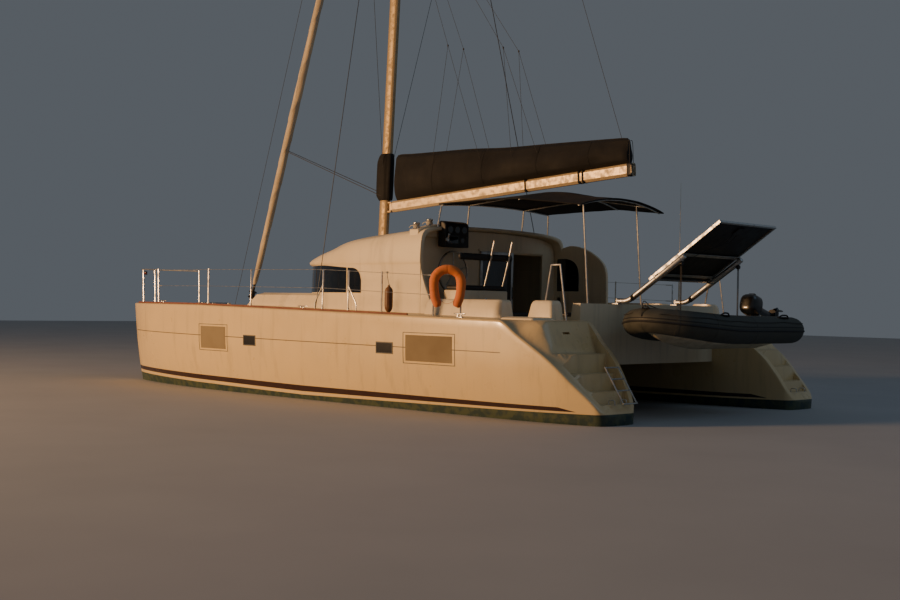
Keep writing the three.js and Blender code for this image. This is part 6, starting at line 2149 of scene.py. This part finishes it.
def cushion(name, low, high, replaces=()):
    """A crowned vinyl pad with piping: sides drawn in, a dome on top, flat where it lies."""
    x0, y0, z0 = low
    x1, y1, z1 = high
    cx, cy = (x0 + x1) / 2, (y0 + y1) / 2
    rings = []
    for share, inset in CUSHION_SIDE:
        ring = []
        for x, y, _ in rounded_rectangle((x0, y0), (x1, y1), inset, 0.045, 0.0, 5):
            u, v = (x - cx) / ((x1 - x0) / 2), (y - cy) / ((y1 - y0) / 2)
            pull = 0.008 * (1 - min(abs(u), abs(v)) ** 2) * math.sin(math.pi * share)
            ring.append((x - pull * u, y - pull * v, z0 + (z1 - z0) * share * 0.92))
        rings.append(ring)
    edge = rings[-1]
    for shrink, lift in CUSHION_DOME:
        ring = []
        for x, y, z in edge:
            u, v = (x - cx) * shrink, (y - cy) * shrink
            wave = 0.0022 * noise.noise(Vector(((cx + u) * 5, (cy + v) * 5, z0)))
            ring.append((cx + u, cy + v, z + (z1 - z) * lift * 0.9 + wave))
        rings.append(ring)
    make(name, Shape().loft(rings), "boat", VINYL, replaces, 70)
    line = [(x, y, z + 0.001) for x, y, z in rings[5]]
    piping = Shape().tube(line + [line[0]], 0.004, 8)
    make(name + "_piping", piping, "boat", VINYL, replaces)


cushion("helm_cushion", (-2.0, 0.495, 1.8015), (-1.59, 1.525, 1.885), ["helm_seat"])
seat_box = Shape()
seat_box.block((-2.01, 0.48, 1.4), (-1.58, 1.54, 1.8), 0.012)
soften(make("helm_bench", seat_box, "boat", DECK, ["helm_seat"], 40), 0.02)
locker = Shape()
locker.block((-2.0125, 0.60, 1.47), (-2.008, 1.42, 1.72), 0.0)
make("helm_locker_door", locker, "boat", DECK, ["helm_seat"])
knob = Shape()
knob.lathe((-2.0125, 1.01, 1.66), [(0, 0.022), (0.004, 0.02), (0.008, 0.012)], 20, (-1, 0, 0))
make("helm_locker_latch", knob, "boat", CHROME, ["helm_seat"])
roll = Shape()
rings = []
for y in [0.44, 0.442, 0.45, 0.465] + spaced(0.49, 1.65, 60) + [1.675, 1.69, 1.698, 1.70]:
    end = min(y - 0.44, 1.70 - y)
    swell = min(1.0, math.sqrt(max(0.0, 1 - (1 - min(end, 0.04) / 0.04) ** 2)) + 0.06)
    channel = min(abs(y - seam) for seam in (0.755, 1.07, 1.385))
    swell *= 1 - 0.09 * math.exp(-((channel / 0.012) ** 2))
    ring = []
    for a in round_turns(28):
        c, s = math.cos(a), math.sin(a)
        depth = 0.036 * math.copysign(abs(c) ** 0.75, c)
        high = 0.054 * math.copysign(abs(s) ** 0.75, s)
        ring.append((-2.046 + depth * swell, y, 2.333 + high * swell))
    rings.append(ring)
roll.loft(rings)
roll_piece = make("back_roll", roll, "boat", VINYL, ["helm_seat"], 70)
tubes = Shape()
for y in (0.57, 1.01):
    run = bend([(-1.955, y, 1.79), (-2.10, y, 2.30), (-2.172, y, 2.6)], 0.1)
    tubes.tube(run + [(-2.174, y, 2.608)], [0.015] * len(run) + [0.006], 16)
    tubes.lathe((-1.955, y, 1.80), [(0, 0.034), (0.006, 0.034), (0.01, 0.018), (0.03, 0.017)], 20)
    tubes.lathe((-2.105, y, 2.333), [(-0.012, 0.019), (0.012, 0.019)], 16, (-1, 0, 0.2))
make("back_tubes", tubes, "boat", STAINLESS, ["helm_seat"], 40)

# x and height round the pod, seen from the side
POD_FACE = [(-1.43, 2.505), (-1.425, 2.865), (-1.405, 2.895), (-1.37, 2.918)]
POD_FACE += [(-1.29, 2.934), (-1.262, 2.90), (-1.25, 2.505)]
DIAL_X = -1.428
# y, height and radius of each dial
DIALS = [(0.92, 2.79, 0.055), (1.085, 2.79, 0.055), (1.25, 2.79, 0.055), (0.96, 2.62, 0.04)]
pod = Shape()
rings = []
for y, inset in ((0.802, 0.02), (0.806, 0.008), (0.82, 0.0), (1.35, 0.0), (1.364, 0.008), (1.368, 0.02)):
    ring = []
    for x, z in POD_FACE:
        ring.append((x + inset * (1 if x < -1.34 else -1), y, z - (inset if z > 2.7 else -inset)))
    rings.append(ring)
pod.loft(rings)
soften(make("instrument_pod", pod, "boat", BLACK_PLASTIC, ["helm_pod"], 40), 0.008, 2)
dials, glasses = Shape(), Shape()
for y, z, r in DIALS:
    rim_side = [(-0.01, r + 0.006), (0.004, r + 0.006), (0.006, r), (0.002, r - 0.006)]
    dials.lathe((DIAL_X, y, z), rim_side, 32, (-1, 0, 0))
    glasses.lathe((DIAL_X, y, z), [(0.0, r - 0.005), (0.0025, r - 0.005)], 32, (-1, 0, 0))
dials.block((-1.434, 1.06, 2.56), (DIAL_X, 1.32, 2.69), 0.003)
glasses.block((-1.4355, 1.075, 2.573), (-1.433, 1.305, 2.677), 0.001)
for y in (0.84, 0.87):
    dials.lathe((-1.43, y, 2.68), [(0, 0.012), (0.014, 0.011), (0.016, 0.008)], 14, (-1, 0, 0))
make("instrument_rims", dials, "boat", GREY_PLASTIC, ["helm_pod"], 40)
make("instrument_glass", glasses, "boat", TINTED, ["helm_pod"])
lever = Shape()
lever.lathe((-1.43, 1.335, 2.62), [(0, 0.035), (0.02, 0.035), (0.026, 0.028)], 24, (-1, 0, 0))
for y in (1.325, 1.345):
    lever.tube([(-1.452, y, 2.62), (-1.475, y, 2.70)], [0.007, 0.006], 10)
    lever.lathe((-1.478, y, 2.705), [(-0.012, 0.004), (-0.008, 0.012), (0.008, 0.012), (0.012, 0.004)], 14)
make("throttle_levers", lever, "boat", CHROME, ["helm_pod"])
print("steering place made")

# %% [markdown]
# ## Winches
#
# Two winches stand on a sloping plinth beside the steering place. A winch is all turned work: a flared
# base, a waisted drum with a grip, a toothed jaw on top and a square socket. A few turns of rope sit on
# each drum.

# %% Winches
# x, y and height of each winch's foot, then height and radius up its side
WINCH_PLACES = [(-1.130, 1.440, 2.83), (-1.110, 1.720, 2.76)]
WINCH_SIDE = [
    (0.0, 0.060), (0.012, 0.064),
    (0.022, 0.060), (0.028, 0.046),
    (0.045, 0.040), (0.075, 0.041),
    (0.092, 0.047), (0.098, 0.056),
    (0.104, 0.058), (0.108, 0.054),
    (0.112, 0.057), (0.118, 0.057),
    (0.124, 0.050), (0.128, 0.034),
    (0.1345, 0.030),
]
drums, turns = Shape(), Shape()
for place in WINCH_PLACES:
    drums.lathe(place, WINCH_SIDE, 48)
    x, y, z = place
    for a in round_turns(10):
        u, v = math.cos(a), math.sin(a)
        rib = [(x + r * u, y + r * v, z + height) for r, height in ((0.041, 0.034), (0.042, 0.082))]
        drums.tube(rib, 0.0035, 6)
    coil = []
    for a in spaced(0, 2 * math.pi * 3.4, 90):
        climb = z + 0.041 + 0.0118 * a / (2 * math.pi)
        coil.append((x + 0.051 * math.cos(a), y + 0.051 * math.sin(a), climb))
    coil += [(x + 0.10, y + 0.03, z + 0.075), (x + 0.15, y + 0.02, z + 0.045)]
    turns.tube(coil, 0.0055, 8)
make("winch_drums", drums, "boat", CHROME, ["winches"], 30)
make("winch_turns", turns, "boat", ROPE, ["winches"])
plinth = Shape()
PLINTH_PLAN = [(-1.228, 1.352), (-1.022, 1.352), (-1.022, 1.798), (-1.228, 1.798)]
tops = [2.878 if y < 1.5 else 2.773 for _, y in PLINTH_PLAN]
plinth.loft([[(x, y, 2.66) for x, y in PLINTH_PLAN], [(x, y, z) for (x, y), z in zip(PLINTH_PLAN, tops)]])
soften(make("winch_plinth", plinth, "boat", DECK, ["winches"], 35), 0.018, 3)
print("winches made")

# %% [markdown]
# ## Cockpit cushions
#
# Closed-cell pads in black vinyl lie on the benches, split into lengths that one person can lift, with
# piping round the upper edge.

# %% Cockpit cushions
# name, lowest and highest corner
COCKPIT_PADS = [
    ("starboard_fore", (-2.26, -1.635, 1.4015), (-1.56, -1.175, 1.462)),
    ("starboard_middle", (-2.98, -1.635, 1.4015), (-2.275, -1.175, 1.462)),
    ("starboard_aft", (-3.70, -1.635, 1.4015), (-2.995, -1.175, 1.462)),
    ("port", (-2.63, 0.47, 1.4015), (-2.235, 1.635, 1.462)),
    ("aft_starboard", (-4.305, -1.62, 1.4215), (-3.875, -0.555, 1.482)),
    ("aft_middle", (-4.305, -0.54, 1.4215), (-3.875, 0.54, 1.482)),
    ("aft_port", (-4.305, 0.555, 1.4215), (-3.875, 1.62, 1.482)),
]
for name, low, high in COCKPIT_PADS:
    cushion(f"pad_{name}", low, high)
print("cushions:", len(COCKPIT_PADS) + 1)

# %% [markdown]
# ## Hatches, lids and the door
#
# Each foredeck hatch is smoked acrylic in a cast frame, with two handles under the glass. The engine lids
# are laminate with a raised edge and a lift ring. The sliding door is tinted glass in an aluminium frame.

# %% Hatches and door
for side, sign in SIDES:
    frame_ring, glass = Shape(), Shape()
    y = sign * 2.48
    frame_ring.block((3.092, y - 0.258, 1.4805), (3.608, y + 0.258, 1.513), 0.045)
    for off in (-0.17, 0.17):
        frame_ring.block((3.075, y + off - 0.03, 1.4805), (3.10, y + off + 0.03, 1.516), 0.006)
    glass.block((3.127, y - 0.223, 1.511), (3.573, y + 0.223, 1.5195), 0.03)
    hatch = f"deck_hatch_{side}"
    soften(make(f"hatch_frame_{side}", frame_ring, hatch, ALUMINIUM, [hatch], 40), 0.004, 2)
    make(f"hatch_glass_{side}", glass, hatch, DARK_GLASS, [hatch], 40)
    grips = Shape()
    for off in (-0.12, 0.12):
        grips.lathe((3.56, y + off, 1.5185), [(0, 0.016), (0.0015, 0.0155)], 20)
    make(f"hatch_grips_{side}", grips, hatch, BLACK_PLASTIC, [hatch])

    lid_name = f"engine_lid_{side}"
    lid, ring_pull = Shape(), Shape()
    y = sign * 2.56
    lid.block((-4.508, y - 0.258, 1.3755), (-3.892, y + 0.258, 1.405), 0.04)
    lid.block((-4.47, y - 0.22, 1.404), (-3.93, y + 0.22, 1.4095), 0.03)
    soften(make(f"lid_{side}", lid, lid_name, DECK, [lid_name], 40), 0.005, 2)
    ring_pull.lathe((-4.42, y, 1.4085), [(0, 0.034), (0.0013, 0.033)], 28)
    pull = [(-4.42 + 0.022 * math.cos(a), y + 0.022 * math.sin(a), 1.4098) for a in spaced(0, RING_END, 24)]
    ring_pull.tube(pull, 0.0012, 6)
    make(f"lid_pull_{side}", ring_pull, lid_name, STAINLESS, [lid_name])

door_bars, door_glass = Shape(), Shape()
for low, high in (((-0.6, 1.026), (-0.545, 2.485)), ((0.195, 1.026), (0.25, 2.485))):
    door_bars.block((-1.1995, low[0], low[1]), (-1.1765, high[0], high[1]), 0.003)
for z0, z1 in ((1.026, 1.095), (2.43, 2.485)):
    door_bars.block((-1.1995, -0.55, z0), (-1.1765, 0.20, z1), 0.003)
door_glass.block((-1.191, -0.55, 1.09), (-1.185, 0.20, 2.435), 0.0)
make("door_frame", door_bars, "saloon_door", ALUMINIUM, ["saloon_door"], 30)
make("door_glass", door_glass, "saloon_door", TINTED, ["saloon_door"])
door_grip = Shape()
grip_run = [(x, -0.572, z) for x, z in ((-1.199, 1.68), (-1.213, 1.68), (-1.213, 1.88), (-1.199, 1.88))]
door_grip.tube(bend(grip_run, 0.02), 0.006, 10)
make("door_handle", door_grip, "saloon_door", BLACK_PLASTIC, ["saloon_door"])
print("hatches and door made")

# %% [markdown]
# ## Deck fittings
#
# Mooring cleats stand along each side: a foot, two legs and a horn with rounded tips. A pair of lamps
# marks the bows, red to port and green to starboard, and a short horn of tube on each platform gives
# swimmers a grip.

# %% Deck fittings
# x, distance off the middle line
CLEATS = [(4.75, 2.62), (0.2, 3.0), (-3.3, 3.0)]
cleats = Shape()
for _, sign in SIDES:
    for x, y_off in CLEATS:
        y, z = sign * y_off, deck_height(x) + 0.001
        cleats.block((x - 0.06, y - 0.022, z), (x + 0.06, y + 0.022, z + 0.009), 0.006)
        for off in (-0.035, 0.035):
            cleats.tube([(x + off, y, z + 0.005), (x + off * 0.9, y, z + 0.046)], [0.014, 0.010], 12)
        horn = [(x + u, y, z + 0.05 + 0.10 * u * u) for u in spaced(-0.12, 0.12, 15)]
        cleats.tube(horn, [0.004, 0.008, 0.0105] + [0.0115] * 9 + [0.0105, 0.008, 0.004], 12)
make("mooring_cleats", cleats, "boat", STAINLESS, (), 40)
for side, sign, lamp_finish in (("port", 1, RED_LAMP), ("starboard", -1, GREEN_LAMP)):
    body, lens = Shape(), Shape()
    place = Vector((5.60, sign * 2.45, 2.03))
    body.lathe(place, [(0, 0.028), (0.004, 0.031), (0.012, 0.031)], 24)
    body.lathe(place + Vector((0, 0, 0.05)), [(0, 0.031), (0.01, 0.030), (0.016, 0.02)], 24)
    lens.lathe(place, [(0.011, 0.027), (0.018, 0.029), (0.043, 0.029), (0.052, 0.027)], 24)
    make(f"bow_lamp_{side}", body, "boat", BLACK_PLASTIC, (), 30)
    make(f"bow_lens_{side}", lens, "boat", lamp_finish, (), 40)
for side, sign in SIDES:
    grips = Shape()
    for y_off in (-0.16, 0.10):
        x, y, z = -5.62, sign * (HULL_Y + y_off), 0.274
        run = [(x, y, z), (x, y, z + 0.06), (x - 0.10, y, z + 0.06), (x - 0.10, y, z)]
        grips.tube(bend(run, 0.03), 0.008, 12)
        for foot_x in (x, x - 0.10):
            grips.lathe((foot_x, y, z), [(0, 0.02), (0.003, 0.02), (0.005, 0.012)], 18)
    make(f"platform_grips_{side}", grips, "boat", STAINLESS, (), 40)
print("cleats:", 2 * len(CLEATS))

# %% [markdown]
# ## Boom fittings
#
# The boom has a plastic cap at its end, dark straps round it under the bag, and loose tail lines where
# the bag is drawn shut. Straps are closed loops offset from the boom's own section.

# %% Boom fittings
BOOM_HALF, BOOM_DEPTH = 0.065, 0.1


def boom_loop(aft, over):
    """A ring round the boom at a distance aft of the gooseneck."""
    low, high = (-BOOM_HALF - over, -BOOM_DEPTH - over), (BOOM_HALF + over, BOOM_DEPTH + over)
    return [on_boom(aft, y, up) for y, up, _ in rounded_rectangle(low, high, 0.0, 0.03, 0.0, 4)]


# distance aft or off a strap's middle, how far the loop stands off the boom
CAP = [(5.36, 0.0015), (5.362, 0.003), (5.436, 0.003), (5.443, -0.01)]
STRAP_SIDE = [(-0.02, 0.0008), (-0.019, 0.0025), (0.019, 0.0025), (0.02, 0.0008)]
cap = Shape().loft([boom_loop(aft, over) for aft, over in CAP])
make("boom_cap", cap, "boom", BLACK_PLASTIC, (), 40)
for number, aft in enumerate((3.30, 4.42, 4.50)):
    strap = Shape().loft([boom_loop(aft + off, over) for off, over in STRAP_SIDE])
    make(f"boom_strap_{number}", strap, "boom", CANVAS, (), 40)
tails = Shape()
for sign, low in ((1, 0.02), (-1, 0.10)):
    start = on_boom(5.386, sign * 0.03, BOOM_HIGH + 0.36)
    hang = [(0, 0, 0), (-0.03, 0.012, -0.03), (-0.045, 0.02, -0.30), (-0.04, 0.026, -0.52 + low)]
    tails.tube(curve([start + Vector((x, sign * y, z)) for x, y, z in hang], 8), 0.0045, 8)
make("bag_tails", tails, "boom", ROPE_DARK)
seams = Shape()
for aft in (1.25, 2.45, 3.65, 4.7):
    ring = bag_ring(aft)
    half_count = len(ring) // 2
    for sign, line in ((1, ring[:half_count]), (-1, ring[half_count:][::-1])):
        seams.tube([p + Vector((0, sign * 0.0015, 0)) for p in line[1:-1]], 0.003, 6)
make("bag_seams", seams, "boom", CANVAS, ["sail_bag"])
print("boom fittings made")

# %% [markdown]
# ## Stage and light
#
# A pale floor lies where the water was. The sun in the photograph is low and warm, off the port bow, so
# it rakes along the port side and leaves both sterns in cool shade. A wide warm panel does that work
# here, with a dim cool sky all round to fill the shade.

# %% Stage and light
FLOOR_REACH = 60
# name, place, aim, size, power in watts, colour
LIGHTS = [
    ("low_sun", (12, 28.5, 6), (0, 0, 2.5), 4, 10800, (1.0, 0.57, 0.26)),
    ("sky_fill", (-18, -6, 16), (-2, 0, 2), 14, 300, (0.44, 0.70, 1.0)),
]
SKY_COLOUR, SKY_STRENGTH = (0.62, 0.70, 0.80, 1), 0.16


def build_stage():
    data = bpy.data.meshes.new("floor")
    corners = [(x * FLOOR_REACH, y * FLOOR_REACH, 0) for x, y in ((-1, -1), (1, -1), (1, 1), (-1, 1))]
    data.from_pydata(corners, [], [(0, 1, 2, 3)])
    floor = bpy.data.objects.new("floor", data)
    bpy.context.scene.collection.objects.link(floor)
    finish = Finish("stage_floor", Roughness=0.8)
    finish.set(Base_Color=finish.mix(finish.blotches(0.3, 0.7, 0.5), paint("A9ABAD"), paint("A2A4A7")))
    data.materials.append(finish.material)


def light_panel(name, place, target, size, power, colour):
    data = bpy.data.lights.new(name, "AREA")
    data.shape = "DISK"
    data.size = size
    data.energy = power
    data.color = colour
    lamp = bpy.data.objects.new(name, data)
    lamp.location = place
    lamp.rotation_mode = "QUATERNION"
    lamp.rotation_quaternion = (Vector(target) - Vector(place)).to_track_quat("-Z", "Y")
    bpy.context.scene.collection.objects.link(lamp)


build_stage()
for light in LIGHTS:
    light_panel(*light)
world = bpy.data.worlds.new("studio")
world.use_nodes = True
background = world.node_tree.nodes["Background"]
background.inputs["Color"].default_value = SKY_COLOUR
background.inputs["Strength"].default_value = SKY_STRENGTH
bpy.context.scene.world = world
print("lights:", len(LIGHTS))
